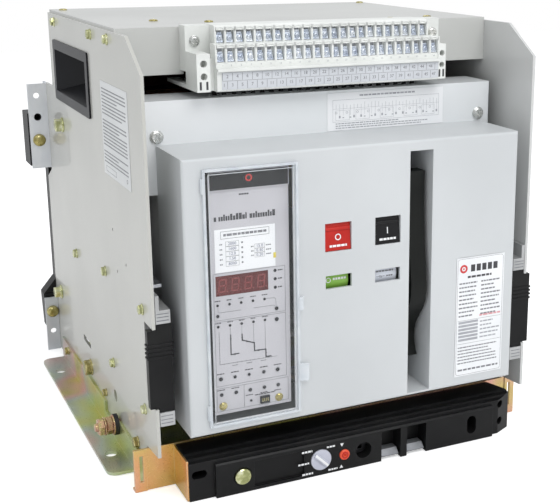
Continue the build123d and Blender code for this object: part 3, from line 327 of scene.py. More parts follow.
class Shape:
    """A mesh put together in millimetres."""

    def __init__(self):
        self.bm = bmesh.new()

    def hull(self, low_ring, high_ring):
        """A closed solid between two rings with the same number of points."""
        low = [self.bm.verts.new(p) for p in low_ring]
        high = [self.bm.verts.new(p) for p in high_ring]
        count = len(low)
        for k in range(count):
            n = (k + 1) % count
            self.bm.faces.new((low[k], low[n], high[n], high[k]))
        self.bm.faces.new(low[::-1])
        self.bm.faces.new(high)

    def circle(self, centre, axis, radius, reach, steps, turn=0.0):
        """A ring of vertices around an axis."""
        angles = [turn + 2 * math.pi * k / steps for k in range(steps)]
        points = [(centre[0] + radius * math.cos(a), centre[1] + radius * math.sin(a)) for a in angles]
        return [self.bm.verts.new(along(axis, flat, reach)) for flat in points]

    def skin(self, rings):
        """Faces between each ring of vertices and the next."""
        count = len(rings[0])
        for a, b in zip(rings, rings[1:]):
            for k in range(count):
                n = (k + 1) % count
                self.bm.faces.new((a[k], a[n], b[n], b[k]))

    def box(self, x, y, z):
        ring = [(x[0], y[0]), (x[1], y[0]), (x[1], y[1]), (x[0], y[1])]
        self.hull([(u, v, z[0]) for u, v in ring], [(u, v, z[1]) for u, v in ring])

    def extrude(self, points, axis, low, high):
        """A flat outline pushed along an axis: (y, z) for x, (x, z) for y, (x, y) for z."""
        self.hull([along(axis, p, low) for p in points], [along(axis, p, high) for p in points])

    def lathe(self, centre, axis, profile, steps=32, turn=0.0):
        """Rings of (radius, distance along the axis) joined in order, closed at both ends."""
        rings = [self.circle(centre, axis, radius, reach, steps, turn) for radius, reach in profile]
        self.skin(rings)
        self.bm.faces.new(rings[0][::-1])
        self.bm.faces.new(rings[-1])

    def ring(self, centre, axis, inner, outer, low, high, steps=32):
        """A flat washer."""
        corners = ((inner, low), (outer, low), (outer, high), (inner, high))
        rings = [self.circle(centre, axis, radius, reach, steps) for radius, reach in corners]
        self.skin(rings + rings[:1])

    def cross_head(self, centre, axis, radius, base, crown, turn=0.0, arm=0.16):
        """A domed screw head with a cross recess; base and crown are distances along the axis."""
        steps, levels = 40, 9
        way = 1 if crown > base else -1
        height = abs(crown - base)
        edge_height, slot_depth = 0.45, 0.5     # shares of the head's height
        slot_reach = 0.66                       # share of its radius
        rings = [self.circle(centre, axis, radius, base, steps)]
        for level in range(levels, 0, -1):
            r = radius * level / levels
            ring = []
            for k in range(steps):
                a = 2 * math.pi * k / steps
                u, v = r * math.cos(a - turn), r * math.sin(a - turn)
                dome = edge_height + (1 - edge_height) * math.sqrt(max(0.0, 1 - (r / radius) ** 2))
                inside = min(abs(u), abs(v)) < arm * radius and r < slot_reach * radius
                lift = height * (dome - (slot_depth if inside else 0.0))
                flat = (centre[0] + r * math.cos(a), centre[1] + r * math.sin(a))
                ring.append(self.bm.verts.new(along(axis, flat, base + way * lift)))
            rings.append(ring)
        self.skin(rings)
        self.bm.faces.new(rings[-1])
        self.bm.faces.new(rings[0][::-1])

    def hexagon_head(self, centre, axis, across, base, top, turn=0.0):
        """A hexagon head or nut with its corners chamfered."""
        corner = across / math.sqrt(3)
        way = 1 if top > base else -1
        self.lathe(centre, axis, [(corner, base), (corner, top - way * across * 0.07), (corner * 0.90, top)],
                   6, turn)
        self.lathe(centre, axis, [(across * 0.40, top - way * 0.1), (across * 0.38, top + way * 0.15)], 28)

    def stroke(self, points, width, place, low=SUNK, high=PROUD):
        """A line of constant width through flat points, laid on a surface by place(u, v, lift)."""
        for (u0, v0), (u1, v1) in zip(points, points[1:]):
            length = math.hypot(u1 - u0, v1 - v0) or 1.0
            du, dv = (u1 - u0) / length * width / 2, (v1 - v0) / length * width / 2
            outline = [(u0 - du + dv, v0 - dv - du), (u1 + du + dv, v1 + dv - du),
                       (u1 + du - dv, v1 + dv + du), (u0 - du - dv, v0 - dv + du)]
            self.hull([place(u, v, low) for u, v in outline], [place(u, v, high) for u, v in outline])

    def patch(self, u, v, place, low=SUNK, high=PROUD):
        outline = [(u[0], v[0]), (u[1], v[0]), (u[1], v[1]), (u[0], v[1])]
        self.hull([place(a, b, low) for a, b in outline], [place(a, b, high) for a, b in outline])

    def frame_line(self, u, v, width, place, low=SUNK, high=PROUD):
        outline = [(u[0], v[0]), (u[1], v[0]), (u[1], v[1]), (u[0], v[1]), (u[0], v[0])]
        self.stroke(outline, width, place, low, high)

    def dot(self, u, v, radius, place, low=SUNK, high=PROUD, steps=20, hole=0.0):
        angles = [2 * math.pi * k / steps for k in range(steps)]
        if not hole:
            ring = [(u + radius * math.cos(a), v + radius * math.sin(a)) for a in angles]
            self.hull([place(a, b, low) for a, b in ring], [place(a, b, high) for a, b in ring])
            return
        rings = [[self.bm.verts.new(place(u + r * math.cos(a), v + r * math.sin(a), lift)) for a in angles]
                 for r, lift in ((hole, low), (radius, low), (radius, high), (hole, high))]
        self.skin(rings + rings[:1])

    def words(self, u, v, height, place, rng, fill=1.0, word=(2.0, 5.0), gap=0.9, lift=PROUD):
        """A row of short bars that stands for small print, over the share fill of u, at the height v."""
        at = u[0]
        stop = u[0] + (u[1] - u[0]) * fill
        while at < stop:
            long = min(rng.uniform(*word), stop - at)
            if long > 0.5:
                self.patch((at, at + long), (v - height / 2, v + height / 2), place, SUNK, lift)
            at += long + gap

    def text(self, letters, u, v, height, place, lift=PROUD):
        """Numbers and symbols as raised print, centred on (u, v)."""
        curve = bpy.data.curves.new("print", "FONT")
        curve.body = letters
        curve.align_x = "CENTER"
        curve.align_y = "CENTER"
        curve.size = height * FONT_SIZE
        curve.resolution_u = 2
        curve.extrude = 0.05
        holder = bpy.data.objects.new("print", curve)
        bpy.context.scene.collection.objects.link(holder)
        bpy.context.view_layer.update()
        mesh = bpy.data.meshes.new_from_object(holder)
        points = [self.bm.verts.new(place(u + p.co.x, v + p.co.y, lift if p.co.z > 0 else SUNK))
                  for p in mesh.vertices]
        for face in mesh.polygons:
            corners = [points[i] for i in face.vertices]
            if len(set(corners)) > 2:
                try:
                    self.bm.faces.new(corners)
                except ValueError:
                    pass
        bpy.data.objects.remove(holder)
        bpy.data.curves.remove(curve)
        bpy.data.meshes.remove(mesh)

    def finish(self, name, body, material, replaces=(), bevel=0.0):
        """Turns the shape into an object that rides on a body; bevel is in millimetres."""
        bmesh.ops.recalc_face_normals(self.bm, faces=self.bm.faces)
        bmesh.ops.scale(self.bm, vec=(MM, MM, MM), verts=self.bm.verts)
        mesh = bpy.data.meshes.new(name)
        self.bm.to_mesh(mesh)
        self.bm.free()
        mesh.materials.append(MATERIALS[material])
        mesh.shade_smooth()
        mesh.set_sharp_from_angle(angle=math.radians(SHARP_DEG))
        made = add_object(name, mesh)
        if bevel:
            soften = made.modifiers.new("edges", "BEVEL")
            soften.width = bevel * MM
            soften.segments = 2
            soften.limit_method = "ANGLE"
            soften.angle_limit = math.radians(BEVEL_DEG)
        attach(made, body)
        if replaces:
            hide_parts(*replaces)


def along(axis, flat, reach):
    u, v = flat
    return {"x": (reach, u, v), "y": (u, reach, v), "z": (u, v, reach)}[axis]


def front(y):
    """Places print on a surface that faces the front."""
    return lambda u, v, lift: (u, y - lift, v)


def left_side(x):
    """Places print on a surface that faces left; u is distance towards the front."""
    return lambda u, v, lift: (x - lift, -u, v)


# ================= fasteners =================
SMALL_HEADS = ((103, 420.5), (-72, 420.5), (-138, 421), (-78, 182), (-218, 184), (-91.5, 87), (60.5, 165),
               (-211, 83))
LARGE_HEADS = ((92, 307), (167.5, 88))
PLATE_X = 200.0
heads = Shape()
for side in (-1, 1):
    for k, (y, z) in enumerate(SMALL_HEADS):
        at = side * PLATE_X
        heads.lathe((y, z), "x", [(5.4, at), (5.4, at + side * 0.8), (5.0, at + side * 1.1)], 32)
        heads.hexagon_head((y, z), "x", 8.0, at + side * 0.9, at + side * 4.1, 0.4 * k)
    for k, (y, z) in enumerate(LARGE_HEADS):
        at = side * PLATE_X
        heads.lathe((y, z), "x", [(8.5, at), (8.5, at + side * 1.3), (8.1, at + side * 1.7)], 40)
        heads.lathe((y, z), "x", [(7.2, at + side * 1.6), (7.2, at + side * 2.8)], 36)
        heads.hexagon_head((y, z), "x", 12.6, at + side * 2.6, at + side * 8.8, 0.3 + 0.5 * k)
heads.finish("side_screws", "cradle", "green_zinc", ("side_fasteners",), bevel=0.15)

bolts = Shape()
for side in (-1, 1):
    for y, z, across, proud in ((132, 23, 8, 3), (20, 42, 15, 0), (-177, 35, 9, 0), (-50, 38, 7, 0)):
        at = side * (PLATE_X + proud)
        bolts.lathe((y, z), "x", [(across * 0.62, at), (across * 0.62, at + side * 0.9),
                                  (across * 0.58, at + side * 1.2)])
        bolts.hexagon_head((y, z), "x", across, at + side * 1.1, at + side * (across * 0.45 + 1.1), 0.35)
    for x, z, y in ((212, 277, 176.2), (207.5, 55, 196)):
        bolts.lathe((side * x, z), "y", [(7.4, y), (7.4, y - 1.0), (7.2, y - 2.6), (6.4, y - 4.2),
                                         (4.8, y - 5.2), (3.4, y - 5.4)], 36)
bolts.finish("bracket_bolts", "cradle", "gold_zinc", ("frame_bolts",), bevel=0.12)

lid_screws = Shape()
for k, (x, y) in enumerate(((-139, -80), (-93, -113), (92, -143), (141, -132), (188, 126), (-186, 118))):
    lid_screws.cross_head((x, y), "z", 4.4, 431.9, 433.9, 0.5 * k)
    lid_screws.lathe((x, y), "z", [(2.3, 428.2), (2.3, 432.0)], 20)
lid_screws.finish("lid_screws", "cradle", "gold_zinc", ("top_screws",))

panel_screws = Shape()
for side in (-1, 1):
    panel_screws.lathe((side * 171.5, 336), "y", [(6.4, -189), (6.4, -189.9), (6.0, -190.2)], 40)
    panel_screws.cross_head((side * 171.5, 336), "y", 5.6, -190.1, -192.4, 0.7)
    panel_screws.lathe((side * 171.5, 336), "y", [(2.8, -190), (2.8, -177.4)], 20)
panel_screws.finish("panel_screws", "breaker", "zinc_clear", ("cover_screws",))

EARTH_AT = (-106, 25)
stud = Shape()
stud.lathe(EARTH_AT, "x", [(10.5, -207.2), (10.5, -208.5), (10.1, -208.8)], 40)
stud.hexagon_head(EARTH_AT, "x", 16, -209.2, -215.4, 0.2)
stud.lathe(EARTH_AT, "x", [(9.5, -216.0), (9.5, -217.0), (9.1, -217.3)], 40)
stud.hexagon_head(EARTH_AT, "x", 16, -217.7, -223.5, 0.75)
threads = [(4.8, -197.2)]
for k in range(22):
    threads += [(4.75, -198.0 - k * 1.25), (4.25, -198.6 - k * 1.25)]
stud.lathe(EARTH_AT, "x", threads + [(4.2, -226.0), (3.4, -226.6)], 32)
stud.finish("earth_stud", "cradle", "rose_zinc", ("earth_terminal",), bevel=0.12)
dress("earth_spacer", "washer_black")


# ================= secondary terminal block =================
PITCH = 9.64
UPPER_X, LOWER_X = -108.3, -113.1     # first cell of each row
UPPER_CELLS, LOWER_CELLS = 23, 24
LOWER_FACE = -205.0
# Each row: its front, its lowest and highest points, its first cell and how many it has.
ROWS = ((-190.0, 418.7, 433.2, UPPER_X, UPPER_CELLS), (LOWER_FACE, 402.6, 418.4, LOWER_X, LOWER_CELLS))
clamps = Shape()
hoods = Shape()
mouth_shades = Shape()
for face, low, high, start, cells in ROWS:
    for k in range(cells):
        x = start + k * PITCH
        back = face + 4.9
        clamps.hull([(x - 3.1, back, low + 0.4), (x + 3.1, back, low + 0.4), (x + 3.1, back - 3.6, low + 0.4),
                     (x - 3.1, back - 3.6, low + 0.4)],
                    [(x - 3.1, back, low + 8.4), (x + 3.1, back, low + 8.4), (x + 3.1, back - 0.9, low + 8.4),
                     (x - 3.1, back - 0.9, low + 8.4)])
        clamps.cross_head((x, low + 3.9), "y", 2.7, back - 2.0, back - 4.4, 0.3 + 0.37 * k, 0.2)
        clamps.box((x - 2.2, x + 2.2), (back - 2.2, back - 0.4), (low + 8.0, low + 9.6))
        # A grey sheet at the back of each cell, under its hood: painted shade in the cell's opening.
        mouth_shades.box((x - 2.4, x + 2.4), (back - 0.35, back + 0.02), (low + 9.9, high - 3.4))
        arc = [(x + 3.85 * math.cos(math.pi * t / 8),
                high - 3.6 + 3.0 * math.sin(math.pi * t / 8)) for t in range(9)]
        hoods.extrude([(x - 4.6, high - 4.4), (x - 3.85, high - 4.4)] + arc[::-1] + [(x + 4.6, high - 4.4),
                      (x + 4.6, high + 0.2), (x - 4.6, high + 0.2)], "y", face - 0.7, face + 0.4)
    for k in range(cells + 1):
        x = start + (k - 0.5) * PITCH
        hoods.box((x - 0.95, x + 0.95), (face - 0.7, face + 0.3), (low - 0.6, high + 0.2))
clamps.finish("clamp_screws", "cradle", "clamp_zinc", ("terminal_screws",), bevel=0.12)
hoods.finish("cell_hoods", "cradle", "terminal_grey", bevel=0.15)
mouth_shades.finish("cell_mouth_shade", "cradle", "ink_pale")


def slope(u, v, lift):
    """The sloping strip below the lower row."""
    back = -207 + (394.5 - v) * 0.5 / 17.5
    return (u, back - lift, v)


strip = Shape()
CARD_ENDS = ((-113.5, SUNK), (112.6, SUNK), (112.6, 0.35), (-113.5, 0.35))
strip.hull([slope(u, 377.9, lift) for u, lift in CARD_ENDS], [slope(u, 393.6, lift) for u, lift in CARD_ENDS])
strip.finish("number_strip", "cradle", "strip_card")
numbers = Shape()
for k in range(UPPER_CELLS):
    numbers.text(str(2 * k + 2), UPPER_X + k * PITCH, 389.8, 3.2, slope, 0.43)
END_SHIFT = {0: 1.6, LOWER_CELLS - 1: -1.2}     # the first and last numbers stand inside the strip's ends
for k in range(LOWER_CELLS):
    numbers.text(str(2 * k + 1), LOWER_X + k * PITCH + END_SHIFT.get(k, 0), 382.0, 3.2, slope, 0.43)
LINE_HALF = 0.16
for k in range(LOWER_CELLS):
    below, above = -113.2 + (k + 0.5) * PITCH, UPPER_X + (k - 0.5) * PITCH
    numbers.patch((below - LINE_HALF, below + LINE_HALF), (378.6, 385.4), slope, 0, 0.42)
    numbers.patch((above - LINE_HALF, above + LINE_HALF), (386.4, 393.0), slope, 0, 0.42)
numbers.patch((-113, 112), (385.75, 386.0), slope, 0, 0.42)
numbers.finish("strip_numbers", "cradle", "ink_grey")
# Dark sheets on the ends of the block stand for their slots: painted shade inside the openings.
slot_shades = Shape()
for x in (-133.4, -127.2, 114.6, 119.0):
    slot_shades.box((x - 1.0, x + 1.0), (-206.08, -205.5), (378.6, 386.0))
slot_shades.finish("end_slot_shades", "cradle", "ink_dark")
band = Shape()
for k in range(LOWER_CELLS):
    band.text(str(2 * k + 1), LOWER_X + k * PITCH + (1.5 if k == 0 else 0), 399.6, 1.7, front(LOWER_FACE),
              0.07)
band.finish("band_numbers", "cradle", "ink_pale")
block_screws = Shape()
for x in (-128, 123.5):
    block_screws.lathe((x, 420), "y", [(5.0, -174), (5.0, -174.8)], 36)
    block_screws.cross_head((x, 420), "y", 4.4, -174.7, -177.4, 0.4)
    block_screws.lathe((x, 420), "y", [(2.3, -174.2), (2.3, -158)], 20)
block_screws.finish("block_screws", "cradle", "zinc_clear")


# Insulating sheet that closes the cradle's upper rear, behind the arc chutes.
sheet = Shape()
sheet.box((-194.5, 194.5), (119.0, 121.0), (331.5, 387.0))
sheet.box((-188.0, 188.0), (119.0, 121.0), (386.0, 428.0))
for x in (-150, -50, 50, 150):
    sheet.box((x - 3, x + 3), (116.5, 119.2), (336, 426))
sheet.finish("rear_sheet", "cradle", "board_brown", bevel=0.3)

# ================= controller =================
FACE = front(-258.5)
rng = random.Random(7)
# Thin lines that frame the fields and lead to the lamps.
lines = Shape()
lines.frame_line((-145.0, -76.0), (176.8, 220.8), 0.35, FACE)
lines.frame_line((-145.0, -76.0), (112.8, 175.2), 0.35, FACE)
lines.frame_line((-145.0, -74.5), (88.0, 110.6), 0.35, FACE)
lines.patch((-118.8, -118.4), (88.0, 110.6), FACE)
LAMPS_X = (-141.8, -130.5, -119.3, -107.9, -96.6)
SIDE_LAMPS_Z = (217.2, 209.2, 201.0)
TOP_KEYS_X = (-140.8, -127.2, -113.3, -98.8, -84.9)
lines.stroke([(-141.2, 165.5), (-141.2, 134.2), (-85.2, 133.4)], 0.4, FACE)
for x, stop in zip(LAMPS_X[1:], (160.5, 160.0, 151.0, 142.8)):
    lines.stroke([(x, 168.6), (x, stop)], 0.3, FACE)
lines.stroke([(-141.6, 188.6), (-141.4, 184.9), (-140.0, 184.0), (-119.5, 184.0)], 0.35, FACE)
lines.stroke([(-107.0, 184.0), (-88.0, 184.0), (-86.6, 183.0)], 0.35, FACE)
lines.stroke([(-94.8, 191.2), (-86.8, 190.9), (-85.6, 189.8), (-85.2, 183.2)], 0.35, FACE)
for k in range(9):
    lines.patch((-141.8, -140.6), (137 + k * 3, 137.25 + k * 3), FACE)
for k in range(12):
    lines.patch((-137 + k * 4.2, -136.7 + k * 4.2), (133.3, 134.6), FACE)
for x in (-126.5, -112.5, -98.5):
    lines.words((x - 3, x + 3), 131.4, 0.7, FACE, rng, 1.0, (1.0, 2.6), 0.4)
lines.finish("panel_lines", "breaker", "ink_grey")
# The trip curve, with a small triangle at each setting.
curves = Shape()
curves.stroke([(-130.3, 161.2), (-130.3, 142.3), (-122.8, 142.3)], 1.15, FACE, -0.05, 0.1)
curves.stroke([(-119.2, 160.4), (-119.1, 154.6), (-113.2, 152.3), (-107.5, 150.2), (-107.4, 142.4),
               (-96.3, 142.1), (-96.2, 134.8), (-91.4, 134.5)], 1.15, FACE, -0.05, 0.1)
for u, v, r in ((-130.3, 158.6, 1.0), (-119.2, 158.0, 1.0), (-114.6, 152.9, 0.9), (-107.5, 147.6, 0.9),
                (-103.4, 142.3, 0.9), (-96.2, 139.2, 0.9), (-126.6, 142.3, 0.9), (-93.8, 134.6, 0.7)):
    points = [(u, v + 1.5 * r), (u - 0.9 * r, v - 1.1 * r), (u + 0.9 * r, v - 1.1 * r)]
    curves.hull([FACE(a, b, -0.05) for a, b in points], [FACE(a, b, 0.12) for a, b in points])
curves.finish("panel_curve", "breaker", "ink_dark")
# Print beside the lamps and keys.
marks = Shape()
for x in LAMPS_X:
    marks.words((x - 2.6, x + 2.8), 195.3, 1.0, FACE, rng, 1.0, (1.1, 2.4), 0.4)
    marks.words((x - 2.6, x + 2.8), 174.2, 0.9, FACE, rng, 1.0, (1.1, 2.4), 0.4)
for z in SIDE_LAMPS_Z:
    marks.words((-83.2, -78.4), z, 1.2, FACE, rng, 1.0, (1.2, 2.2), 0.4)
for x in TOP_KEYS_X:
    marks.words((x - 3.8, x + 3.8), 124.9, 1.0, FACE, rng, 1.0, (1.4, 3.0), 0.4)
    marks.words((x - 3.8, x + 3.8), 109.0 if x < -119 else 99.4, 0.9, FACE, rng, 1.0, (1.4, 3.0), 0.4)
marks.words((-108, -88), 98.2, 1.0, FACE, rng, 1.0, (1.4, 3.6), 0.5)
marks.words((-118.8, -109.7), 292.0, 1.5, FACE, rng, 1.0, (1.6, 3.0), 0.4)
marks.finish("panel_print", "breaker", "ink_dark")
# Three bars of uneven blocks stand for the title.
title = Shape()
for at, long in ((-142.8, 2.2), (-138.4, 26.5), (-109.2, 25.6)):
    place_at = at
    while place_at < at + long - 0.6:
        wide = rng.uniform(1.5, 2.7)
        tall = rng.choice((4.0, 4.2, 5.8))
        title.patch((place_at, min(place_at + wide, at + long)), (269.2, 269.2 + tall), FACE)
        place_at += wide + 0.55
title.finish("panel_title", "breaker", "ink_dark")

display = Shape()
display.box((-143, -92.5), (-257.9, -257.4), (199.5, 218.5))
display.finish("display_window", "breaker", "display_glass")
digits = Shape()
# The segments of one digit, as (u, v) ends around its middle.
SEGMENTS = (((-2.6, 5.6), (2.6, 5.6)), ((3.1, 5.1), (3.1, 0.5)), ((3.1, -0.5), (3.1, -5.1)),
            ((-2.6, -5.6), (2.6, -5.6)), ((-3.1, -0.5), (-3.1, -5.1)), ((-3.1, 5.1), (-3.1, 0.5)),
            ((-2.4, 0.0), (2.4, 0.0)))


def lean(x, z):
    """Places a leaning digit on the display, around (x, z)."""
    return lambda u, v, lift: (x + u + 0.1 * v, -257.9 - lift, z + v)


for k in range(4):
    spot = lean(-136.4 + k * 12.4, 209.0)
    for ends in SEGMENTS:
        digits.stroke(ends, 1.35, spot)
    digits.dot(5.3, -5.6, 0.75, spot)
digits.finish("display_digits", "breaker", "digit_red")

# Lamps, keys with a pale ring, and the test port.
lamps = Shape()
for x in LAMPS_X:
    for z in (191.1, 170.8):
        lamps.lathe((x, z), "y", [(1.25, -258.4), (1.25, -258.9), (0.9, -259.2), (0.4, -259.3)], 20)
for z in SIDE_LAMPS_Z:
    lamps.lathe((-85.8, z), "y", [(1.5, -258.4), (1.5, -258.9), (1.1, -259.25), (0.5, -259.35)], 20)
lamps.finish("panel_lamps", "breaker", "lamp_dark")
keys = Shape()
KEYS = [(x, 119.9, r) for x, r in zip(TOP_KEYS_X, (1.8, 1.4, 1.3, 1.6, 1.8))]     # x, z, radius
KEYS += [(x, 104.4, 1.6) for x in (-140.6, -126.4, -112.5, -98.5, -84.6)]
KEYS += [(-84.9, 180.4, 1.7), (-141.9, 181.0, 1.4), (-84.9, 169.8, 1.8), (-111.9, 93.5, 1.0)]
for x, z, r in KEYS:
    keys.lathe((x, z), "y", [(r, -258.4), (r, -259.0), (r * 0.82, -259.35), (r * 0.4, -259.42)], 28)
keys.finish("panel_keys", "breaker", "lamp_dark")
collars = Shape()
for x, z, r in KEYS:
    collars.dot(x, z, r + 0.55, FACE, hole=r + 0.15, steps=28)
collars.finish("key_rings", "breaker", "ink_pale")
port = Shape()
port.box((-103.0, -93.6), (-260.4, -258.4), (88.8, 96.2))
port.finish("test_port", "breaker", "socket_dark", bevel=0.4)
pins = Shape()
for k in range(4):
    pins.box((-101.4 + k * 1.8, -100.8 + k * 1.8), (-260.7, -260.0), (91.0, 94.2))
pins.finish("port_pins", "breaker", "gold_zinc")
face_screws = Shape()
for x, z in ((-139.3, 92.9), (-83.9, 91.9)):
    face_screws.lathe((x, z), "y", [(4.0, -258.4), (4.0, -258.9)], 32)
    face_screws.cross_head((x, z), "y", 3.4, -258.8, -260.6, 0.5)
face_screws.finish("face_screws", "breaker", "gold_zinc")
# Settings label, with its yellow tag.
sticker = Shape()
sticker.box((-143.0, -85.2), (-258.75, -258.4), (221.7, 261.6))
sticker.finish("settings_label", "breaker", "label_white", bevel=0.1)
tag = Shape()
tag.box((-87.2, -84.6), (-258.95, -258.6), (229.5, 234.5))
tag.finish("settings_tag", "breaker", "tab_yellow")
STICKER = front(-258.75)
values = Shape()
values.frame_line((-137.0, -91.0), (252.8, 259.4), 0.35, STICKER)
values.words((-134.5, -93.5), 256.1, 2.2, STICKER, rng, 1.0, (2.4, 5.2), 0.7)
LEFT_ROWS = (247.7, 243.0, 238.4, 233.7, 229.1)
RIGHT_ROWS = (242.6, 238.4, 234.2)
for z in LEFT_ROWS:
    values.words((-138.4, -135.8), z, 1.2, STICKER, rng, 1.0, (1.0, 1.4), 0.4)
    values.frame_line((-132.6, -120.2), (z - 2.2, z + 2.2), 0.22, STICKER)
    values.patch((-117.8, -116.2), (z - 0.8, z + 0.9), STICKER)
for z in RIGHT_ROWS:
    values.words((-108.6, -106.2), z, 1.2, STICKER, rng, 1.0, (1.0, 1.4), 0.4)
    values.frame_line((-105.0, -95.6), (z - 2.0, z + 2.0), 0.22, STICKER)
    values.words((-94.2, -89.4), z, 1.1, STICKER, rng, 1.0, (1.0, 1.8), 0.4)
values.finish("settings_print", "breaker", "ink_grey")
written = Shape()
for z, value in zip(LEFT_ROWS, ("2000", "1600", "12.0", "1.50", "8000")):
    written.text(value, -126.4, z, 2.9, STICKER)
for z, value in zip(RIGHT_ROWS, ("15.0", "0.40", "0.20")):
    written.text(value, -100.3, z, 2.9, STICKER)
written.finish("settings_values", "breaker", "ink_blue")
# Dark band above the face, with the reset button in it.
dark_band = Shape()
dark_band.box((-146.2, -72.3), (-260.35, -259.9), (297.8, 313.4))
dark_band.finish("controller_band", "breaker", "controller_case", bevel=0.15)
collar = Shape()
collar.ring((-110.2, 307.0), "y", 4.2, 5.4, -260.9, -260.2, 40)
collar.finish("reset_collar", "breaker", "socket_dark", bevel=0.15)
cap = Shape()
cap.ring((-110.2, 307.0), "y", 1.9, 3.3, -261.35, -260.9, 36)
cap.finish("reset_ring", "reset", "ring_red", bevel=0.1)

# ================= clear window =================
pane = Shape()
pane.box((-152.5, -68.0), (-267.9, -266.6), (79.5, 316.0))
pane.finish("window_pane", "window", "window_clear", ("controller_window",), bevel=0.3)
rim = Shape()
for x in ((-155.0, -152.6), (-67.9, -65.5)):
    rim.box(x, (-268.1, -264.95), (77.0, 318.5))
for z in ((77.0, 79.4), (316.1, 318.5)):
    rim.box((-152.6, -67.9), (-268.1, -264.95), z)
for x in ((-150.4, -149.6), (-70.8, -70.0)):
    rim.box(x, (-268.1, -267.8), (81.5, 314.0))
for z in ((81.2, 82.0), (313.4, 314.2)):
    rim.box((-150.4, -70.0), (-268.1, -267.8), z)
for z in (92, 304):
    rim.lathe((-155.4, -266.5), "z", [(1.3, z - 7), (1.5, z - 6.5), (1.5, z + 6.5), (1.3, z + 7)], 20)
rim.box((-66.0, -61.5), (-268.1, -265.0), (178, 191))
rim.extrude([(-66, -265.0), (-66, -268.1), (-57.5, -269.9), (-56.6, -268.4), (-64, -265.0)], "z", 108, 125)
rim.finish("window_rim", "window", "window_edge", bevel=0.3)

# ================= buttons and flags =================
BUTTONS = {"off": (-24.3, 243.3), "on": (27.7, 243.8)}
BUTTON_HALF = 13.1            # half the height of a button's face
BUTTON_FRONT = -263.9         # the face's lower edge, and how much further back its upper edge is
BUTTON_LEAN = 2.6


def button_face(centre):
    """Places print on a button's leaning face."""
    x, z = centre

    def place(u, v, lift):
        back = BUTTON_FRONT + BUTTON_LEAN * (v + BUTTON_HALF) / (2 * BUTTON_HALF)
        return (x + u, back - lift, z + v)
    return place


for name, centre in BUTTONS.items():
    place = button_face(centre)
    symbol = Shape()
    if name == "off":
        symbol.dot(0.4, -0.6, 3.1, place, hole=2.1, steps=32, high=0.12)
    else:
        symbol.patch((-0.2, 0.8), (-3.6, 2.6), place, high=0.12)
    symbol.words((-8.6, 9.2), -8.8, 2.1, place, rng, 1.0, (2.0, 4.0), 0.6, 0.12)
    symbol.finish(name + "_mark", name, "ink_white")
    ridge = Shape()
    arc = [(-1.9 * math.cos(math.pi * t / 8), 1.5 * math.sin(math.pi * t / 8)) for t in range(9)]
    ring_low = [place(-12.6, 7.4 + a, b - 0.2) for a, b in arc]
    ring_high = [place(12.6, 7.4 + a, b - 0.2) for a, b in arc]
    ridge.hull(ring_low, ring_high)
    paint = "button_red" if name == "off" else "button_black"
    ridge.finish(name + "_ridge", name, paint, bevel=0.2)

DRUM_Y, DRUM_R = -238.5, 20.0     # a flag's pin, and its curved face


def drum(centre):
    """Places print on the curved face of a flag."""
    x, z = centre

    def place(u, v, lift):
        return (x + u, DRUM_Y - math.sqrt(DRUM_R ** 2 - v * v) - lift, z + v)
    return place


contact = Shape()
place = drum((-24.0, 199.9))
contact.dot(-8.2, 0.2, 2.6, place, hole=1.8, steps=28)
contact.words((-3.5, 10.2), 1.0, 2.2, place, rng, 1.0, (2.0, 3.6), 0.6)
contact.finish("contact_flag_mark", "contact_indicator", "ink_white")

# The flag turns 40 degrees with the shaft, and its red part then stands in the opening.
closed = Shape()
closed_mark = Shape()
CLOSED_FROM, CLOSED_TO, CLOSED_STEPS = 26, 45, 8     # degrees above the middle of the flag's face
red = [DRUM_R * math.sin(math.radians(CLOSED_FROM + (CLOSED_TO - CLOSED_FROM) * k / CLOSED_STEPS))
       for k in range(CLOSED_STEPS + 1)]
for low, high in zip(red, red[1:]):
    closed.patch((-12.0, 12.0), (low, high), place, -0.05, 0.12)
closed_mark.patch((-8.7, -7.7), (9.9, 13.3), place, 0.0, 0.35)
for start, long in ((-3.5, 3.0), (0.1, 2.4), (3.1, 3.6), (7.3, 2.9)):
    closed_mark.patch((start, start + long), (10.6, 12.6), place, 0.0, 0.35)
closed.finish("contact_flag_closed", "contact_indicator", "button_red")
closed_mark.finish("contact_flag_closed_mark", "contact_indicator", "ink_white")
spring = Shape()
place = drum((27.8, 199.3))
spring.words((-9.8, 9.0), 2.6, 1.5, place, rng, 1.0, (1.6, 3.2), 0.5)
spring.stroke([(-9.0, -2.6), (-6.4, -2.6), (-5.8, -1.6), (-5.0, -3.8), (-4.2, -1.6), (-3.4, -3.8),
               (-2.8, -2.6), (-0.4, -2.6)], 0.45, place)
spring.words((1.5, 9.0), -2.6, 1.4, place, rng, 1.0, (1.6, 3.2), 0.5)
spring.finish("spring_flag_mark", "spring_indicator", "ink_grey")

# ================= labels =================
PLATE = front(-264.9)
rng = random.Random(21)
card = Shape()
CARD_CORNER = 2.8
corners = []
for cx, cz, start in ((158.2, 202.7, 0), (107.8, 202.7, 90), (107.8, 82.3, 180), (158.2, 82.3, 270)):
    turns = [math.radians(start + 15 * k) for k in range(7)]
    corners += [(cx + CARD_CORNER * math.cos(a), cz + CARD_CORNER * math.sin(a)) for a in turns]
card.extrude(corners, "y", -264.95, -264.5)
card.finish("rating_plate", "breaker", "label_white")
rows = Shape()
MIDDLE_X, MIDDLE_Z = 133, 142.5     # of the plate; its border runs a little inside its edge
border = [(MIDDLE_X + (x - MIDDLE_X) * 0.95, MIDDLE_Z + (z - MIDDLE_Z) * 0.978)
          for x, z in corners + corners[:1]]
rows.stroke(border, 0.25, PLATE, high=0.09)
for k in range(5):
    rows.patch((121.5 + k * 6.6, 126.4 + k * 6.6), (190.2, 197.4), PLATE, high=0.1)
rows.words((118, 146), 184.8, 2.2, PLATE, rng, 1.0, (3, 6), 0.9)
rows.finish("plate_heading", "breaker", "ink_dark")
badge = Shape()
badge.dot(113.2, 193.8, 4.4, PLATE, high=0.1, steps=36, hole=2.2)
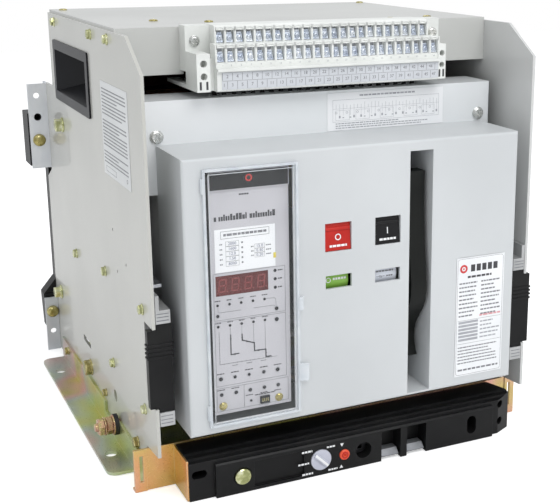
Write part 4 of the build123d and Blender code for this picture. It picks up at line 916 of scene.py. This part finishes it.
badge.dot(113.2, 193.8, 1.0, PLATE, high=0.1, steps=20)
badge.finish("plate_badge", "breaker", "ink_red")
fine = Shape()
for k in range(9):
    z = 178.6 - k * 4.3
    fine.words((108.5, 130.5), z, 1.5, PLATE, rng, rng.uniform(0.75, 1.0), (1.8, 4.2), 0.7)
    fine.words((134.0, 158.0), z, 1.5, PLATE, rng, rng.uniform(0.6, 1.0), (1.8, 4.2), 0.7)
for k in range(6):
    z = 110.5 - k * 3.4
    fine.words((108.5, 158.0), z, 1.2, PLATE, rng, rng.uniform(0.7, 1.0), (1.6, 4.0), 0.6)
fine.patch((107.6, 158.6), (139.2, 139.5), PLATE)
fine.patch((107.6, 158.6), (114.3, 114.6), PLATE)
fine.words((109, 157), 86.0, 1.9, PLATE, rng, 1.0, (3, 6), 1.2)
fine.finish("plate_print", "breaker", "ink_grey")
grid = Shape()
for k in range(6):
    grid.patch((108.6, 131.6), (117.4 + k * 3.7, 119.9 + k * 3.7), PLATE)
for k in range(5):
    grid.words((134.0, 158.0), 119.0 + k * 4.2, 1.5, PLATE, rng, rng.uniform(0.6, 1.0), (2, 5), 0.7)
grid.finish("plate_table", "breaker", "ink_pale")
rose = Shape()
rose.words((133.0, 158.0), 142.6, 1.8, PLATE, rng, 1.0, (3, 6), 0.8)
rose.finish("plate_rose_row", "breaker", "ink_rose")

wiring = Shape()
DIAGRAM = front(-189.4)
wiring.words((34, 96), 362.6, 1.6, DIAGRAM, rng, 1.0, (2.5, 5.0), 0.8)
wiring.frame_line((5, 124), (337.5, 359.0), 0.25, DIAGRAM)
wiring.patch((5, 124), (350.2, 350.4), DIAGRAM)
for k in range(30):
    x = 8.5 + k * 3.9
    wiring.stroke([(x, 350.2), (x, rng.uniform(353.2, 356.0))], 0.25, DIAGRAM)
    if k % 3:
        wiring.patch((x - 0.9, x + 0.9), (341.0, 342.0 + 1.4 * (k % 2)), DIAGRAM)
        wiring.stroke([(x, 350.2), (x, 343.6)], 0.2, DIAGRAM)
    else:
        wiring.dot(x, 346.4, 1.2, DIAGRAM, hole=0.85, steps=16)
for left in (8, 30, 57, 84, 104):
    wiring.frame_line((left, left + 15), (339.0, 348.6), 0.2, DIAGRAM)
for k in range(3):
    wiring.words((8, 122), 335.6 - k * 2.2, 1.0, DIAGRAM, rng, rng.uniform(0.6, 0.98), (1.6, 4.2), 0.7)
wiring.finish("wiring_diagram", "breaker", "ink_pale")

SIDE = left_side(-200.4)
notes = Shape()
for k in range(22):
    if k not in (8, 17):
        fill = rng.uniform(0.55, 1.0) if k % 4 == 3 else 0.98
        notes.words((107, 197), 373.0 - k * 3.35, 1.1, SIDE, rng, fill, (2.0, 6.0), 0.8)
notes.frame_line((112, 150), (293.5, 298.5), 0.3, SIDE)
notes.dot(190, 297, 2.0, SIDE, hole=1.4)
notes.finish("instruction_print", "cradle", "ink_grey")
dress("instruction_label", "label_grey")

# ================= racking gear at the front =================
RACK = front(-257.0)
guide = Shape()
KNOB_X, KNOB_Z = -40.3, 16.5
for u, v in (((-60.5, -49.5), (26.6, 28.6)), ((-64.5, -53.0), (14.4, 16.2)), ((-60.5, -49.0), (3.0, 5.0)),
             ((-34.0, -24.5), (27.2, 29.0)), ((-32.5, -22.5), (2.6, 4.4))):
    guide.words(u, (v[0] + v[1]) / 2, v[1] - v[0], RACK, rng, 1.0, (2.0, 3.4), 0.6)
guide.finish("position_print", "cradle", "ink_white")
arrows = Shape()
for u, v, way in ((-17.6, 27.6, -1), (-18.4, 4.2, 1)):
    points = [(u - 2.0, v - way * 1.5), (u + 2.0, v - way * 1.5), (u, v + way * 2.0)]
    arrows.hull([RACK(a, b, -0.05) for a, b in points], [RACK(a, b, 0.1) for a, b in points])
arrows.finish("position_arrows", "cradle", "ink_white")
pointer = Shape()
POINTER_HALF, POINTER_TURN = 8.2, math.radians(135)
reach = (POINTER_HALF * math.cos(POINTER_TURN), POINTER_HALF * math.sin(POINTER_TURN))
ends = [(KNOB_X + way * reach[0], KNOB_Z + way * reach[1]) for way in (-1, 1)]
pointer.stroke(ends, 2.4, front(-259.8), -0.05, 0.25)
pointer.finish("knob_pointer", "knob", "ink_white", bevel=0.1)
button_ring = Shape()
button_ring.ring((-14.8, 16.5), "y", 2.1, 3.6, -258.9, -258.45, 36)
button_ring.finish("release_ring", "release", "button_red", bevel=0.1)

for side, body in ((-1, "left_guide"), (1, "right_guide")):
    grooves = Shape()
    for low, high in ((181.0, 182.0), (184.4, 185.2), (187.4, 188.2), (82.4, 83.2), (85.8, 86.6),
                      (89.4, 90.2)):
        span = sorted((side * 195.6, side * 184.4))
        grooves.box(span, (-249.06, -248.6), (low, high))
    grooves.finish("rail_grooves_" + body, body, "ink_grey")

# ================= floor, sizes and the end =================
FLOOR_HALF, FLOOR_Z = 4, -0.0005     # metres
FLOOR_GLOW = 0.42                    # seen by the camera only: white paper around the shadow
floor_mesh = bpy.data.meshes.new("floor")
ground = [(x * FLOOR_HALF, y * FLOOR_HALF, FLOOR_Z) for x, y in ((-1, -1), (1, -1), (1, 1), (-1, 1))]
floor_mesh.from_pydata(ground, [], [(0, 1, 2, 3)])
floor = add_object("floor", floor_mesh)
surface("floor_paper", [(250, 250, 250), (253, 253, 253)], (0.8, 0.9), patch=2, grain=300, bump=0.02)
paper = MATERIALS["floor_paper"].node_tree
ray = paper.nodes.new("ShaderNodeLightPath")
lift = paper.nodes.new("ShaderNodeMath")
lift.operation = "MULTIPLY"
lift.inputs[1].default_value = FLOOR_GLOW
paper.links.new(ray.outputs["Is Camera Ray"], lift.inputs[0])
shine = paper.nodes["Principled BSDF"]
shine.inputs["Emission Color"].default_value = (1, 1, 1, 1)
paper.links.new(lift.outputs[0], shine.inputs["Emission Strength"])
floor_mesh.materials.append(MATERIALS["floor_paper"])
